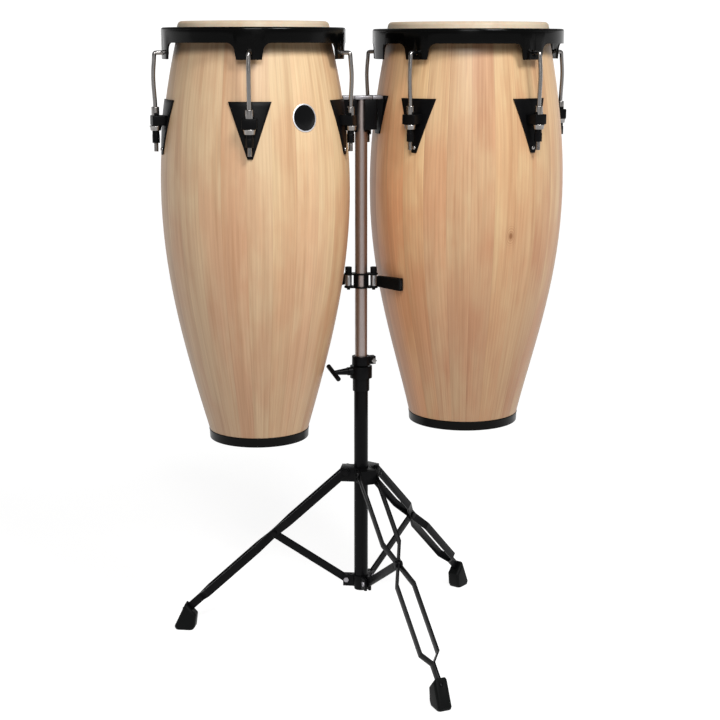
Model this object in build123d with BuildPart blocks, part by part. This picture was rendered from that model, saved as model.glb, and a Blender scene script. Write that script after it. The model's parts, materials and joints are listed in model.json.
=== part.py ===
"""Two congas on a height-adjustable double stand. Millimetres, +Z up, floor at z = 0.

Each drum is built about its own axis with +X towards the post. The stand is built about the post.
"""

import os
from dataclasses import dataclass
from math import asin, atan2, cos, degrees, hypot, radians, sin

from build123d import *

os.makedirs("parts", exist_ok=True)

# ---- gaps
face_gap = 0.3  # between flat or curved faces of pieces that move apart
run_gap = 0.05  # radial, of a turning or sliding fit
skin_gap = 0.2  # between curved faces fixed to each other

# ---- layout
line_turn = 19.0  # degrees from +X to the line through both drum axes
front_leg_turn = -66.6  # degrees from +X to the front leg
left_offset = 192.1  # post axis to the left drum's axis
right_offset = 200.4  # post axis to the right drum's axis
leg_count = 3

# ---- drums, shared sizes
drum_low = 412.0  # lower ends of the shells above the floor
head_thick = 2.0
shell_height = 715.0
shell_wall = 11.0
edge_bevel = 6.0  # bearing edge at the top of the shell
side_steps = 8  # turned steps that make up the barrel curve
calf_h = 157.0  # heights of the profile's lower points above the shell's bottom
waist_h = 300.0
belly_drop = 273.0  # and of its upper points below the shell's top
shoulder_drop = 123.0
ring_h = 17.0  # rubber ring round the foot of the shell
ring_drop = 4.0
ring_wall = 2.5
ring_proud = 0.8
rim_h = 25.2
rim_steel = 3.0
rim_round = 4.0
rim_clear = 1.5  # radial, rim outside the skin's side
hoop_depth = 14.0  # top of the flesh hoop below the rim's top
hoop_h = 8.0
hoop_w = 7.5
ear_w = 46.0  # below the shoulders
ear_tip_w = 41.0
ear_flare_w = 70.0
ear_drop = 26.6  # ear below the rim's lower edge
ear_round = 14.0
lug_count = 5
rod_d = 8.0
rod_standoff = 16.0  # rod axis outside the rim
rod_hook_in = 9.0  # hook end inside the rim's outer face
hook_drop = 51.5  # hook axis below the playing surface
rod_bottom_drop = 214.0
plate_drop = 128.4  # top of the side plate below the playing surface
plate_h = 91.3
plate_w = 69.7
plate_tip_w = 9.0
plate_steel = 2.5
band_arc = 60.0  # degrees, more than the widest plate
block_drop = 154.0
block_h = 16.9
block_w = 24.8
block_reach = 7.0  # block beyond the rod axis
washer_h = 8.4
washer_top_d = 21.0
washer_low_d = 17.0
nut_h = 20.4
nut_flats = 12.0

# ---- drums, own sizes
left_head_r = 127.0
left_foot_r = 88.0
left_calf_r = 126.2
left_waist_r = 153.3
left_belly_r = 162.4
left_shoulder_r = 149.5
left_top_r = 125.5
left_rim_r = 155.5
left_rim_drop = 10.4  # top of the rim below the playing surface
right_head_r = 139.7
right_foot_r = 100.3
right_calf_r = 136.6
right_waist_r = 165.0
right_belly_r = 173.8
right_shoulder_r = 161.0
right_top_r = 140.0
right_rim_r = 169.3
right_rim_drop = 11.8

# ---- mount between drum and stand
lip_drop = 132.0  # top of the stand's pockets below the playing surface
lip_thick = 6.0
tongue_reach = 18.5  # tongue centre from the post axis
tongue_thick = 4.0
tongue_w = 30.0
tongue_drop = 42.0
pocket_wall = 3.0
pocket_h = 52.0
mount_top_w = 52.0
mount_tip_w = 22.0
mount_h = 66.0
rib_thick = 4.0

# ---- post and base tube
tube_d = 25.4
tube_wall = 1.2
post_play = 0.4  # radial, post in the tube
post_wall = 1.6
post_low_z = 300.0
tube_low_z = 99.0
tube_top_z = 499.5
plug_h = 4.0
plug_in = 12.0
sleeve_wall = 3.6
sleeve_h = 56.0
sleeve_slot_w = 14.0
sleeve_slot_turn = -90.0  # degrees from +X

# ---- height collar, memory lock and handle
collar_low_z = 475.5
collar_wall = 2.45  # round the tube
collar_head_wall = 7.25  # round the bushing
collar_top_z = 521.0
collar_step = 1.5  # ledge that the tube's end butts on
bush_wall = 1.55
bush_proud = 1.5  # bushing above the collar
lock_wall = 5.25
lock_h = 16.5
lock_ear_l = 9.6  # ears beyond the ring
lock_ear_w = 13.0
lock_bolt_d = 5.0
lock_head_d = 7.5
lock_head_h = 6.0
handle_turn = 206.0  # degrees from +X
handle_z = 513.0
handle_boss_d = 15.0
handle_boss_reach = 27.0
handle_stem_d = 8.0
handle_neck_d = 9.5
handle_reach = 55.0
handle_bar_d = 8.5
handle_bar_l = 46.0
handle_tilt = 70.0

# ---- stabiliser clamp and arms
clamp_mid_z = 677.5
clamp_h = 27.0
clamp_wall = 2.6
clamp_window_h = 21.0
clamp_window_w = 12.0
flange_thick = 3.4
flange_w = 15.0
arm_pivot = 22.5  # pivot from the post axis, along world X
arm_bolt_d = 6.0
arm_knuckle_d = 12.0
bolt_head_d = 12.2
bolt_head_h = 11.0
strap_h = 17.0
strap_thick = 3.0
strap_l = 71.0
pad_thick = 10.0
pad_start = 11.0
pad_l = 60.0
pad_low_h = 19.0  # pad height near the pivot
pad_end_h = 22.0

# ---- tripod
pivot_r = 27.0  # leg and brace pivots from the post axis
hub_below = 18.0  # hub below its leg pivots
hub_h = 25.5
hub_wall = 5.75
hub_reach = 36.5
lug_w = 29.4
leg_pin_d = 8.0
pin_head_d = 12.0
pin_head_h = 2.5
lock_screw_d = 6.0
lock_knob_d = 12.0
lock_knob_l = 9.0
lock_knob_reach = 25.0  # knob from the post axis, clear of the lugs
leg_slope = 43.0  # degrees below level
strip_w = 15.0
strip_thick = 2.5
strip_spread = 17.6  # half spacing of the strips' outer faces, below the pinch
pinch_l = 187.3  # along the leg, from its pivot
pinch_flat = 8.0
pinch_run = 34.0  # length over which the strips close up
join_end = 45.0  # strips lie together over this length at the leg's end
join_run = 19.0
leg_l = 424.0
leg_end_z = 34.8  # end of a leg's centre line above the floor
rivet_d = 6.0
brace_pivot_z = 113.0
brace_thick = 3.0
yoke_z = 101.0
yoke_h = 22.0
yoke_wall = 2.45
yoke_reach = 33.0
yoke_w = 13.0
brace_pin_d = 6.0
foot_ahead = 20.0  # tip of a foot beyond the leg's end
foot_behind = 23.1  # heel behind the leg's end
foot_l = 33.0  # sole
foot_w = 26.0
foot_nose = 8.5  # half width of the nose between its rounds
foot_toe = 3.0  # roll at the tip
foot_heel_h = 30.6
foot_lap = 14.0  # boot's top along the leg from the leg's end
foot_wall = 4.0  # rubber above and below the strips
foot_round = 6.0

# ---- derived layout
left_leg_turn = front_leg_turn - 360 / leg_count
right_leg_turn = front_leg_turn + 360 / leg_count
drum_top = drum_low + shell_height
head_top = drum_top + head_thick  # playing surface
lip_z = head_top - lip_drop
post_top_z = lip_z
tube_r = tube_d / 2
bore_r = tube_r - tube_wall
post_r = bore_r - post_play
bush_r = post_r + run_gap + bush_wall
collar_r = bush_r + run_gap + collar_head_wall
lock_r = post_r + run_gap + lock_wall
lock_ear_reach = lock_r + lock_ear_l
hub_r = tube_r + run_gap + hub_wall
yoke_r = tube_r + run_gap + yoke_wall
hub_pivot_z = leg_end_z + leg_l * sin(radians(leg_slope))
hub_low_z = hub_pivot_z - hub_below
leg_end_x = pivot_r + leg_l * cos(radians(leg_slope))
foot_tip = leg_end_x + foot_ahead
foot_heel = leg_end_x - foot_behind
right_reach = (right_offset + right_rim_r + rod_standoff + washer_top_d / 2) * cos(radians(line_turn))


def foot_reach(turn):
    """How far a foot goes along X and along Y when its leg stands at a bearing."""
    along, across = abs(cos(radians(turn))), abs(sin(radians(turn)))
    return foot_tip * along + foot_nose * across, foot_tip * across + foot_nose * along


axis_x = (foot_reach(left_leg_turn)[0] - right_reach) / 2
axis_y = (foot_reach(front_leg_turn)[1] - foot_reach(right_leg_turn)[1]) / 2
stand = Location((axis_x, axis_y, 0))
on_line = stand * Location((0, 0, 0), (0, 0, line_turn))


def save(name, part, where=stand):
    """Label a part, put it in its place and write its STEP file."""
    placed = part.moved(where)
    placed.label = name
    export_step(placed, f"parts/{name}.step")


def turned(angle):
    """The stand's frame with +X turned to a bearing."""
    return stand * Location((0, 0, 0), (0, 0, angle))


# =====================================================================================
# Drums
# =====================================================================================
@dataclass
class Drum:
    name: str
    offset: float
    side: float  # degrees from the line to the drum's +X
    head_r: float
    foot_r: float
    calf_r: float
    waist_r: float
    belly_r: float
    shoulder_r: float
    top_r: float
    rim_r: float
    rim_drop: float

    @property
    def rim_top(self):
        """Height of the rim's top."""
        return head_top - self.rim_drop

    @property
    def rim_low(self):
        """Height of the rim's lower edge between its ears."""
        return self.rim_top - rim_h

    @property
    def hoop_top(self):
        """Height at which the rim bears on the flesh hoop."""
        return self.rim_top - hoop_depth


ring_top = drum_low - ring_drop + ring_h
hook_z = head_top - hook_drop
block_low = head_top - block_drop - block_h


def side_points(drum, grow=0.0):
    """Points of the shell's outer profile, grown outwards by a distance."""
    rows = (
        (drum.foot_r, ring_top),
        (drum.calf_r, drum_low + calf_h),
        (drum.waist_r, drum_low + waist_h),
        (drum.belly_r, drum_top - belly_drop),
        (drum.shoulder_r, drum_top - shoulder_drop),
        (drum.top_r, drum_top - edge_bevel),
    )
    curve = Edge.make_spline([Vector(*row) for row in rows])
    steps = [curve @ (i / side_steps) for i in range(side_steps + 1)]
    return [(p.X + grow, p.Y) for p in steps]


def shell_radius(drum, z):
    """Outer radius of the shell at a height."""
    points = side_points(drum)
    for (r_low, z_low), (r_high, z_high) in zip(points, points[1:]):
        if z <= z_high:
            break
    return r_low + (r_high - r_low) * (z - z_low) / (z_high - z_low)


def shell_band(drum):
    """A slice of a plate that follows the shell's outer face, about +X."""
    with BuildPart() as band:
        with BuildSketch(Plane.XZ):
            with BuildLine():
                outer = side_points(drum, skin_gap + plate_steel)
                Polyline(*side_points(drum, skin_gap), *outer[::-1], close=True)
            make_face()
        revolve(axis=Axis.Z, revolution_arc=band_arc)
    return band.part.rotate(Axis.Z, -band_arc / 2)


def make_shell(drum):
    """Barrel of staves with a bevelled bearing edge and a seat for the foot ring."""
    seat_r = drum.foot_r - ring_wall
    with BuildPart() as shell:
        with BuildSketch(Plane.XZ):
            with BuildLine():
                Polyline(
                    *side_points(drum),
                    (drum.top_r - edge_bevel, drum_top),
                    (drum.top_r - shell_wall, drum_top),
                    (drum.belly_r - shell_wall, drum_top - belly_drop),
                    (drum.calf_r - shell_wall, drum_low + calf_h),
                    (seat_r - shell_wall, drum_low),
                    (seat_r, drum_low),
                    (seat_r, ring_top),
                    close=True,
                )
            make_face()
        revolve(axis=Axis.Z)
    return shell.part


def make_ring(drum):
    """Rubber ring round the shell's lower end."""
    seat_r = drum.foot_r - ring_wall + skin_gap
    with BuildPart() as ring:
        with BuildSketch(Plane.XZ):
            with BuildLine():
                Polyline(
                    (seat_r, drum_low - ring_drop),
                    (drum.foot_r - ring_wall / 2, drum_low - ring_drop),
                    (drum.foot_r + ring_proud, ring_top),
                    (seat_r, ring_top),
                    close=True,
                )
            make_face()
        revolve(axis=Axis.Z)
    return ring.part


def skin_radius(drum):
    """Outer radius of the skin where it meets its flesh hoop."""
    return shell_radius(drum, drum.hoop_top) + skin_gap + head_thick


def make_head(drum):
    """Rawhide skin drawn over the bearing edge and lapped round its flesh hoop."""
    lap = skin_gap + head_thick
    hoop_in = shell_radius(drum, drum.hoop_top - hoop_h) + skin_gap
    with BuildPart() as head:
        with BuildSketch(Plane.XZ):
            with BuildLine():
                Polyline(
                    (0, head_top),
                    (drum.top_r - edge_bevel + head_thick, head_top),
                    (drum.top_r + lap, drum_top - edge_bevel),
                    (skin_radius(drum), drum.hoop_top),
                    (hoop_in + hoop_w, drum.hoop_top),
                    (hoop_in + hoop_w, drum.hoop_top - hoop_h),
                    (hoop_in, drum.hoop_top - hoop_h),
                    (drum.top_r + skin_gap, drum_top - edge_bevel),
                    (drum.top_r - edge_bevel + skin_gap, drum_top),
                    (0, drum_top),
                    close=True,
                )
            make_face()
        revolve(axis=Axis.Z)
    return head.part


def ear_outline(drum, low, top):
    """Ear of the rim in the YZ plane, with concave shoulders."""
    half, flare = ear_w / 2, ear_flare_w / 2
    with BuildSketch(Plane.YZ) as ear:
        with BuildLine():
            Polyline((-flare, drum.rim_low), (-flare, top), (flare, top), (flare, drum.rim_low))
            RadiusArc((flare, drum.rim_low), (half, drum.rim_low - ear_round), -ear_round)
            Polyline(
                (half, drum.rim_low - ear_round), (ear_tip_w / 2, low), (-ear_tip_w / 2, low),
                (-half, drum.rim_low - ear_round),
            )
            RadiusArc((-half, drum.rim_low - ear_round), (-flare, drum.rim_low), -ear_round)
        make_face()
    return ear.sketch


def make_rim(drum):
    """Rolled steel rim with an ear and a hook hole over each lug."""
    out, inn = drum.rim_r, skin_radius(drum) + rim_clear
    ear_low = drum.rim_low - ear_drop
    with BuildPart() as ears:
        with BuildSketch(Plane.XY.offset(ear_low)):
            Circle(out)
            Circle(out - rim_steel, mode=Mode.SUBTRACT)
        extrude(amount=drum.rim_low - ear_low + rim_steel)
        with BuildPart(mode=Mode.INTERSECT):
            with PolarLocations(0, lug_count, start_angle=180 / lug_count):
                add(extrude(ear_outline(drum, ear_low, drum.rim_low + rim_steel), amount=out + 5))
        with PolarLocations(0, lug_count, start_angle=180 / lug_count):
            with Locations(Location((out, 0, hook_z), (0, 90, 0))):
                Cylinder(rod_d / 2 + face_gap, 4 * rim_steel, mode=Mode.SUBTRACT)
    with BuildPart() as rim:
        with BuildSketch(Plane.XZ):
            with BuildLine():
                Polyline(
                    (inn, drum.hoop_top),
                    (inn, drum.rim_top),
                    (out - rim_round, drum.rim_top),
                    (out, drum.rim_top - rim_round),
                    (out, drum.rim_low),
                    (out - rim_steel, drum.rim_low),
                    (out - rim_steel, drum.hoop_top),
                    close=True,
                )
            make_face()
        revolve(axis=Axis.Z)
        add(ears.part)
    return rim.part


def make_rods(drum):
    """J-hook tension rods, hooked through the ears and run down through the lugs."""
    rod_r = drum.rim_r + rod_standoff
    low = head_top - rod_bottom_drop
    with BuildPart() as rod:
        with BuildLine(Plane.XZ) as path:
            Polyline((drum.rim_r - rod_hook_in, hook_z), (rod_r, hook_z), (rod_r, low))
        with BuildSketch(Plane(path.line @ 1, z_dir=(0, 0, -1))):
            Circle(rod_d / 2)
        sweep(path=path.line, transition=Transition.RIGHT)
    return around(rod.part)


def around(part, count=lug_count):
    """Copies of a part at every lug, as separate solids."""
    step = 360 / count
    return Compound([part.rotate(Axis.Z, step / 2 + i * step) for i in range(count)])


def make_side_plates(drum):
    """Triangular plates that follow the shell, each with its lug block."""
    rod_r = drum.rim_r + rod_standoff
    top = head_top - plate_drop
    low = top - plate_h
    root = shell_radius(drum, block_low) + skin_gap * 2
    with BuildPart() as lug:
        add(shell_band(drum))
        with BuildPart(mode=Mode.INTERSECT):
            with BuildSketch(Plane.YZ):
                Polygon(
                    (-plate_w / 2, top), (plate_w / 2, top), (plate_tip_w / 2, low), (-plate_tip_w / 2, low),
                    align=None,
                )
            extrude(amount=drum.belly_r * 2)
        with Locations(((root + rod_r + block_reach) / 2, 0, block_low + block_h / 2)):
            Box(rod_r + block_reach - root, block_w, block_h)
        with Locations((rod_r, 0, block_low + block_h / 2)):
            Cylinder(rod_d / 2 + face_gap, block_h, mode=Mode.SUBTRACT)
    return around(lug.part)


def make_washers(drum):
    """Cup washers between the lug blocks and the nuts."""
    with BuildPart() as washer:
        with Locations((drum.rim_r + rod_standoff, 0, block_low - washer_h / 2)):
            Cone(washer_low_d / 2, washer_top_d / 2, washer_h)
            Cylinder(rod_d / 2 + face_gap, washer_h, mode=Mode.SUBTRACT)
    return around(washer.part)


def make_nut(drum, index):
    """Hexagon tension nut on one rod."""
    low = block_low - washer_h - skin_gap - nut_h
    with BuildPart() as nut:
        with BuildSketch(Plane.XY.offset(low)):
            with Locations((drum.rim_r + rod_standoff, 0)):
                RegularPolygon(nut_flats / 2, 6, major_radius=False)
                Circle(rod_d / 2 + run_gap, mode=Mode.SUBTRACT)
        extrude(amount=nut_h)
    step = 360 / lug_count
    return nut.part.rotate(Axis.Z, step / 2 + index * step)


def make_mount(drum):
    """Mount on the drum: plate on the shell, lip over the stand's pocket, tongue and ribs."""
    top = lip_z + face_gap + lip_thick
    tongue_x = drum.offset - tongue_reach
    rib_x = tongue_x - tongue_thick / 2 - face_gap - pocket_wall - face_gap
    root = shell_radius(drum, top - lip_thick) + skin_gap + plate_steel / 2
    rib_low = top - mount_h + rib_thick
    rib_root = shell_radius(drum, rib_low) + skin_gap + plate_steel / 2
    with BuildPart() as mount:
        add(shell_band(drum))
        with BuildPart(mode=Mode.INTERSECT):
            with BuildSketch(Plane.YZ):
                Polygon(
                    (-mount_top_w / 2, top), (mount_top_w / 2, top),
                    (mount_tip_w / 2, top - mount_h), (-mount_tip_w / 2, top - mount_h),
                    align=None,
                )
            extrude(amount=drum.belly_r * 2)
        with Locations(((root + tongue_x + tongue_thick / 2) / 2, 0, top - lip_thick / 2)):
            Box(tongue_x + tongue_thick / 2 - root, tongue_w, lip_thick)
        with Locations((tongue_x, 0, top - (tongue_drop + lip_thick) / 2)):
            Box(tongue_thick, tongue_w, tongue_drop + lip_thick)
        for y in (-(tongue_w - rib_thick) / 2, (tongue_w - rib_thick) / 2):
            with BuildSketch(Plane.XZ.offset(-y)):
                Polygon(
                    (root, top - lip_thick), (rib_x, top - lip_thick),
                    (rib_x, top - lip_thick - tongue_drop / 4), (rib_root, rib_low),
                    align=None,
                )
            extrude(amount=rib_thick / 2, both=True)
    return mount.part


def build_drum(drum):
    """Write every piece of one drum in its place on the stand."""
    where = on_line * Location((0, 0, 0), (0, 0, drum.side)) * Location((-drum.offset, 0, 0))
    save(f"{drum.name}_shell", make_shell(drum), where)
    save(f"{drum.name}_foot_ring", make_ring(drum), where)
    save(f"{drum.name}_head", make_head(drum), where)
    save(f"{drum.name}_rim", make_rim(drum), where)
    save(f"{drum.name}_tension_rods", make_rods(drum), where)
    save(f"{drum.name}_side_plates", make_side_plates(drum), where)
    save(f"{drum.name}_washers", make_washers(drum), where)
    save(f"{drum.name}_mount", make_mount(drum), where)
    for index in range(lug_count):
        save(f"{drum.name}_nut_{index + 1}", make_nut(drum, index), where)


left_drum = Drum(
    "left", left_offset, 0, left_head_r, left_foot_r, left_calf_r, left_waist_r,
    left_belly_r, left_shoulder_r, left_top_r, left_rim_r, left_rim_drop,
)
right_drum = Drum(
    "right", right_offset, 180, right_head_r, right_foot_r, right_calf_r, right_waist_r,
    right_belly_r, right_shoulder_r, right_top_r, right_rim_r, right_rim_drop,
)
build_drum(left_drum)
build_drum(right_drum)

# =====================================================================================
# Post, hanger and stabiliser
# =====================================================================================
with BuildPart() as post:
    with BuildSketch(Plane.XY.offset(post_low_z)):
        Circle(post_r)
        Circle(post_r - post_wall, mode=Mode.SUBTRACT)
    extrude(amount=post_top_z - post_low_z)
save("post", post.part)

# Split sleeve on the post's top with a pocket each side for a drum's tongue.
sleeve_r = post_r + sleeve_wall
pocket_in = tongue_reach - tongue_thick / 2 - face_gap
pocket_out = tongue_reach + tongue_thick / 2 + face_gap
with BuildPart() as hanger_sleeve:
    with Locations((0, 0, lip_z - sleeve_h / 2)):
        Cylinder(sleeve_r, sleeve_h)
    with Locations((0, 0, lip_z - pocket_h / 2)):
        Box(2 * (pocket_out + pocket_wall), tongue_w + 2 * (face_gap + pocket_wall), pocket_h)
        fillet(hanger_sleeve.edges().filter_by(Axis.Z), pocket_wall)
    for x in (-tongue_reach, tongue_reach):
        with Locations((x, 0, lip_z)):
            Box(
                pocket_out - pocket_in, tongue_w + 2 * face_gap, 2 * (tongue_drop + face_gap),
                mode=Mode.SUBTRACT,
            )
    with Locations((0, 0, lip_z - sleeve_h / 2)):
        Cylinder(post_r + run_gap, sleeve_h, mode=Mode.SUBTRACT)
    with Locations(Location((0, 0, lip_z - sleeve_h / 2), (0, 0, sleeve_slot_turn - line_turn))):
        Box(
            2 * sleeve_r, sleeve_slot_w, sleeve_h,
            align=(Align.MIN, Align.CENTER, Align.CENTER), mode=Mode.SUBTRACT,
        )
save("hanger_sleeve", hanger_sleeve.part, on_line)

with BuildPart() as post_cap:
    with Locations((0, 0, lip_z + lip_thick / 2)):
        Box(2 * (pocket_in - face_gap), tongue_w, lip_thick)
save("post_cap", post_cap.part, on_line)

clamp_low = clamp_mid_z - clamp_h / 2
with BuildPart() as stabiliser_clamp:
    with Locations((0, 0, clamp_mid_z)):
        Cylinder(post_r + clamp_wall, clamp_h)
    for z in (clamp_low + flange_thick / 2, clamp_low + clamp_h - flange_thick / 2):
        with BuildSketch(Plane.XY.offset(z)):
            SlotCenterToCenter(2 * arm_pivot, flange_w)
        extrude(amount=flange_thick / 2, both=True)
    with Locations((0, 0, clamp_mid_z)):
        Cylinder(post_r + run_gap, clamp_h, mode=Mode.SUBTRACT)
    with Locations((0, -post_r - clamp_wall, clamp_mid_z)):
        Box(clamp_window_w, 2 * post_r, clamp_window_h, mode=Mode.SUBTRACT)
    with Locations((-arm_pivot, 0, clamp_mid_z), (arm_pivot, 0, clamp_mid_z)):
        Cylinder(arm_bolt_d / 2 + run_gap, clamp_h, mode=Mode.SUBTRACT)
save("stabiliser_clamp", stabiliser_clamp.part)

bolt_top = clamp_low + clamp_h + bolt_head_h
with BuildPart() as arm_bolts:
    for x in (-arm_pivot, arm_pivot):
        with BuildSketch(Plane.XY.offset(clamp_low - flange_thick)):
            with Locations((x, 0)):
                Circle(arm_bolt_d / 2)
        extrude(amount=clamp_h + flange_thick)
        with BuildSketch(Plane.XY.offset(clamp_low + clamp_h)):
            with Locations((x, 0)):
                RegularPolygon(bolt_head_d / 2, 6)
        extrude(amount=bolt_head_h)
save("arm_bolts", arm_bolts.part)


def arm_bearing(drum, side):
    """Bearing of an arm whose pad just clears the shell, from a pivot at side * arm_pivot."""
    turn = radians(line_turn)
    centre_x = side * drum.offset * cos(turn) - side * arm_pivot
    centre_y = side * drum.offset * sin(turn)
    clear = shell_radius(drum, clamp_mid_z + pad_end_h / 2) + face_gap + pad_thick / 2
    return degrees(atan2(centre_y, centre_x) - asin(clear / hypot(centre_x, centre_y)))


knuckle_h = clamp_h - 2 * (flange_thick + face_gap)
for name, drum, side in (("left", left_drum, -1), ("right", right_drum, 1)):
    spot = stand * Location((side * arm_pivot, 0, clamp_mid_z), (0, 0, arm_bearing(drum, side)))
    with BuildPart() as arm:
        Cylinder(arm_knuckle_d / 2, knuckle_h)
        with Locations((strap_l / 2, 0, 0)):
            Box(strap_l, strap_thick, strap_h)
        Cylinder(arm_bolt_d / 2 + run_gap, knuckle_h, mode=Mode.SUBTRACT)
    save(f"{name}_arm", arm.part, spot)
    with BuildPart() as pad:
        with BuildSketch(Plane.XZ) as outline:
            Polygon(
                (pad_start, -pad_low_h / 2), (pad_start + pad_l, -pad_end_h / 2),
                (pad_start + pad_l, pad_end_h / 2), (pad_start, pad_low_h / 2),
                align=None,
            )
        extrude(amount=pad_thick / 2, both=True)
        fillet(pad.edges().filter_by(Axis.Z), pad_thick / 4)
        with Locations((strap_l / 2, 0, 0)):
            Box(strap_l, strap_thick, strap_h, mode=Mode.SUBTRACT)
    save(f"{name}_arm_pad", pad.part, spot)

# =====================================================================================
# Base tube, height collar, memory lock and handle
# =====================================================================================
with BuildPart() as base_tube:
    with BuildSketch(Plane.XY.offset(tube_low_z)):
        Circle(tube_r)
        Circle(bore_r, mode=Mode.SUBTRACT)
    extrude(amount=tube_top_z - tube_low_z)
save("base_tube", base_tube.part)

with BuildPart() as tube_plug:
    with Locations((0, 0, tube_low_z - plug_h / 2)):
        Cylinder(tube_r, plug_h)
    with Locations((0, 0, tube_low_z + plug_in / 2)):
        Cylinder(bore_r - skin_gap, plug_in)
save("tube_plug", tube_plug.part)

bush_low = tube_top_z + collar_step + face_gap
with BuildPart() as height_collar:
    with BuildSketch(Plane.XY.offset(collar_low_z)):
        Circle(tube_r + run_gap + collar_wall)
    extrude(amount=tube_top_z - collar_low_z)
    with BuildSketch(Plane.XY.offset(tube_top_z)):
        Circle(collar_r)
    extrude(amount=collar_top_z - tube_top_z)
    with Locations(Location((0, 0, handle_z), (0, 0, handle_turn)) * Location((0, 0, 0), (0, 90, 0))):
        Cylinder(handle_boss_d / 2, handle_boss_reach, align=(Align.CENTER, Align.CENTER, Align.MIN))
    with BuildSketch(Plane.XY.offset(collar_low_z)):
        Circle(tube_r + run_gap)
    extrude(amount=tube_top_z - collar_low_z, mode=Mode.SUBTRACT)
    with BuildSketch(Plane.XY.offset(tube_top_z)):
        Circle(post_r + face_gap)
    extrude(amount=collar_step, mode=Mode.SUBTRACT)
    with BuildSketch(Plane.XY.offset(tube_top_z + collar_step)):
        Circle(bush_r + run_gap)
    extrude(amount=collar_top_z - tube_top_z, mode=Mode.SUBTRACT)
    with Locations(Location((0, 0, handle_z), (0, 0, handle_turn)) * Location((0, 0, 0), (0, 90, 0))):
        Cylinder(
            handle_stem_d / 2 + run_gap, 2 * collar_r,
            align=(Align.CENTER, Align.CENTER, Align.MIN), mode=Mode.SUBTRACT,
        )
save("height_collar", height_collar.part)

with BuildPart() as bushing:
    with BuildSketch(Plane.XY.offset(bush_low)):
        Circle(bush_r)
        Circle(post_r + run_gap, mode=Mode.SUBTRACT)
    extrude(amount=collar_top_z + bush_proud - bush_low)
save("bushing", bushing.part)

lock_low = collar_top_z + bush_proud + face_gap
lock_bolt_x = (post_r + lock_ear_reach) / 2 + lock_bolt_d / 2
with BuildPart() as memory_lock:
    with Locations((0, 0, lock_low + lock_h / 2)):
        Cylinder(lock_r, lock_h)
    with Locations((lock_ear_reach / 2, 0, lock_low + lock_h / 2)):
        Box(lock_ear_reach, lock_ear_w, lock_h - 2)
    with Locations((0, 0, lock_low + lock_h / 2)):
        Cylinder(post_r + run_gap, lock_h, mode=Mode.SUBTRACT)
    with Locations((lock_ear_reach, 0, lock_low + lock_h / 2)):
        Box(2 * (lock_ear_reach - post_r), rod_d / 4, lock_h, mode=Mode.SUBTRACT)
    with Locations(Location((lock_bolt_x, 0, lock_low + lock_h / 2), (90, 0, 0))):
        Cylinder(lock_bolt_d / 2 + run_gap, 2 * lock_ear_w, mode=Mode.SUBTRACT)
save("memory_lock", memory_lock.part, on_line)

with BuildPart() as memory_bolt:
    with Locations(Location((lock_bolt_x, 0, lock_low + lock_h / 2), (90, 0, 0))):
        Cylinder(lock_bolt_d / 2, lock_ear_w + 4)
    with BuildSketch(Plane.XZ.offset(lock_ear_w / 2 + face_gap)):
        with Locations((lock_bolt_x, lock_low + lock_h / 2)):
            RegularPolygon(lock_head_d / 2, 4, major_radius=False)
    extrude(amount=lock_head_h)
save("memory_bolt", memory_bolt.part, on_line)

stem_in = bush_r + run_gap + face_gap
with BuildPart() as height_handle:
    with BuildSketch(Plane.YZ.offset(stem_in)):
        Circle(handle_stem_d / 2)
    extrude(amount=handle_boss_reach - stem_in + face_gap)
    with Locations(Location((handle_boss_reach + face_gap, 0, 0), (0, 90, 0))):
        Cone(
            handle_boss_d / 2 - 1, handle_neck_d / 2 - 1, handle_reach - handle_boss_reach,
            align=(Align.CENTER, Align.CENTER, Align.MIN),
        )
    with Locations(Location((handle_reach, 0, 0), (handle_tilt, 0, 0))):
        Cylinder(handle_bar_d / 2, handle_bar_l)
save("height_handle", height_handle.part, stand * Location((0, 0, handle_z), (0, 0, handle_turn)))

# =====================================================================================
# Tripod
# =====================================================================================
hub_mid = hub_low_z + hub_h / 2
screw_turn = front_leg_turn + 180 / leg_count
with BuildPart() as leg_hub:
    with Locations((0, 0, hub_mid)):
        Cylinder(hub_r, hub_h)
    for i in range(leg_count):
        with BuildSketch(Plane.XZ.rotated((0, 0, front_leg_turn + i * 360 / leg_count))):
            with Locations((hub_reach / 2, hub_mid)):
                Rectangle(hub_reach, hub_h)
        extrude(amount=lug_w / 2, both=True)
    with Locations((0, 0, hub_mid)):
        Cylinder(tube_r + run_gap, hub_h, mode=Mode.SUBTRACT)
    for i in range(leg_count):
        spin = Location((0, 0, 0), (0, 0, front_leg_turn + i * 360 / leg_count))
        with Locations(spin * Location((pivot_r, 0, hub_pivot_z), (90, 0, 0))):
            Cylinder(leg_pin_d / 2, 2 * lug_w, mode=Mode.SUBTRACT)
    with Locations(Location((0, 0, hub_mid), (0, 0, screw_turn)) * Location((0, 0, 0), (0, 90, 0))):
        Cylinder(
            lock_screw_d / 2 + run_gap, 2 * hub_r,
            align=(Align.CENTER, Align.CENTER, Align.MIN), mode=Mode.SUBTRACT,
        )
save("leg_hub", leg_hub.part)


def pivot_pins(radius, z, pin_d, width, head_d):
    """Headed pins at all three legs, as separate solids."""
    with BuildPart() as pin:
        with Locations(Location((radius, 0, z), (90, 0, 0))):
            Cylinder(pin_d / 2, width)
        for y in (-(width + pin_head_h) / 2, (width + pin_head_h) / 2):
            with BuildSketch(Plane.XZ.offset(-y)):
                with Locations((radius, z)):
                    RegularPolygon(head_d / 2, 6)
            extrude(amount=pin_head_h / 2, both=True)
    step = 360 / leg_count
    return Compound([pin.part.rotate(Axis.Z, front_leg_turn + i * step) for i in range(leg_count)])


strip_in = lug_w / 2 + face_gap
save("hub_pins", pivot_pins(pivot_r, hub_pivot_z, leg_pin_d, 2 * (strip_in + strip_thick + face_gap), pin_head_d))

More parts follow.
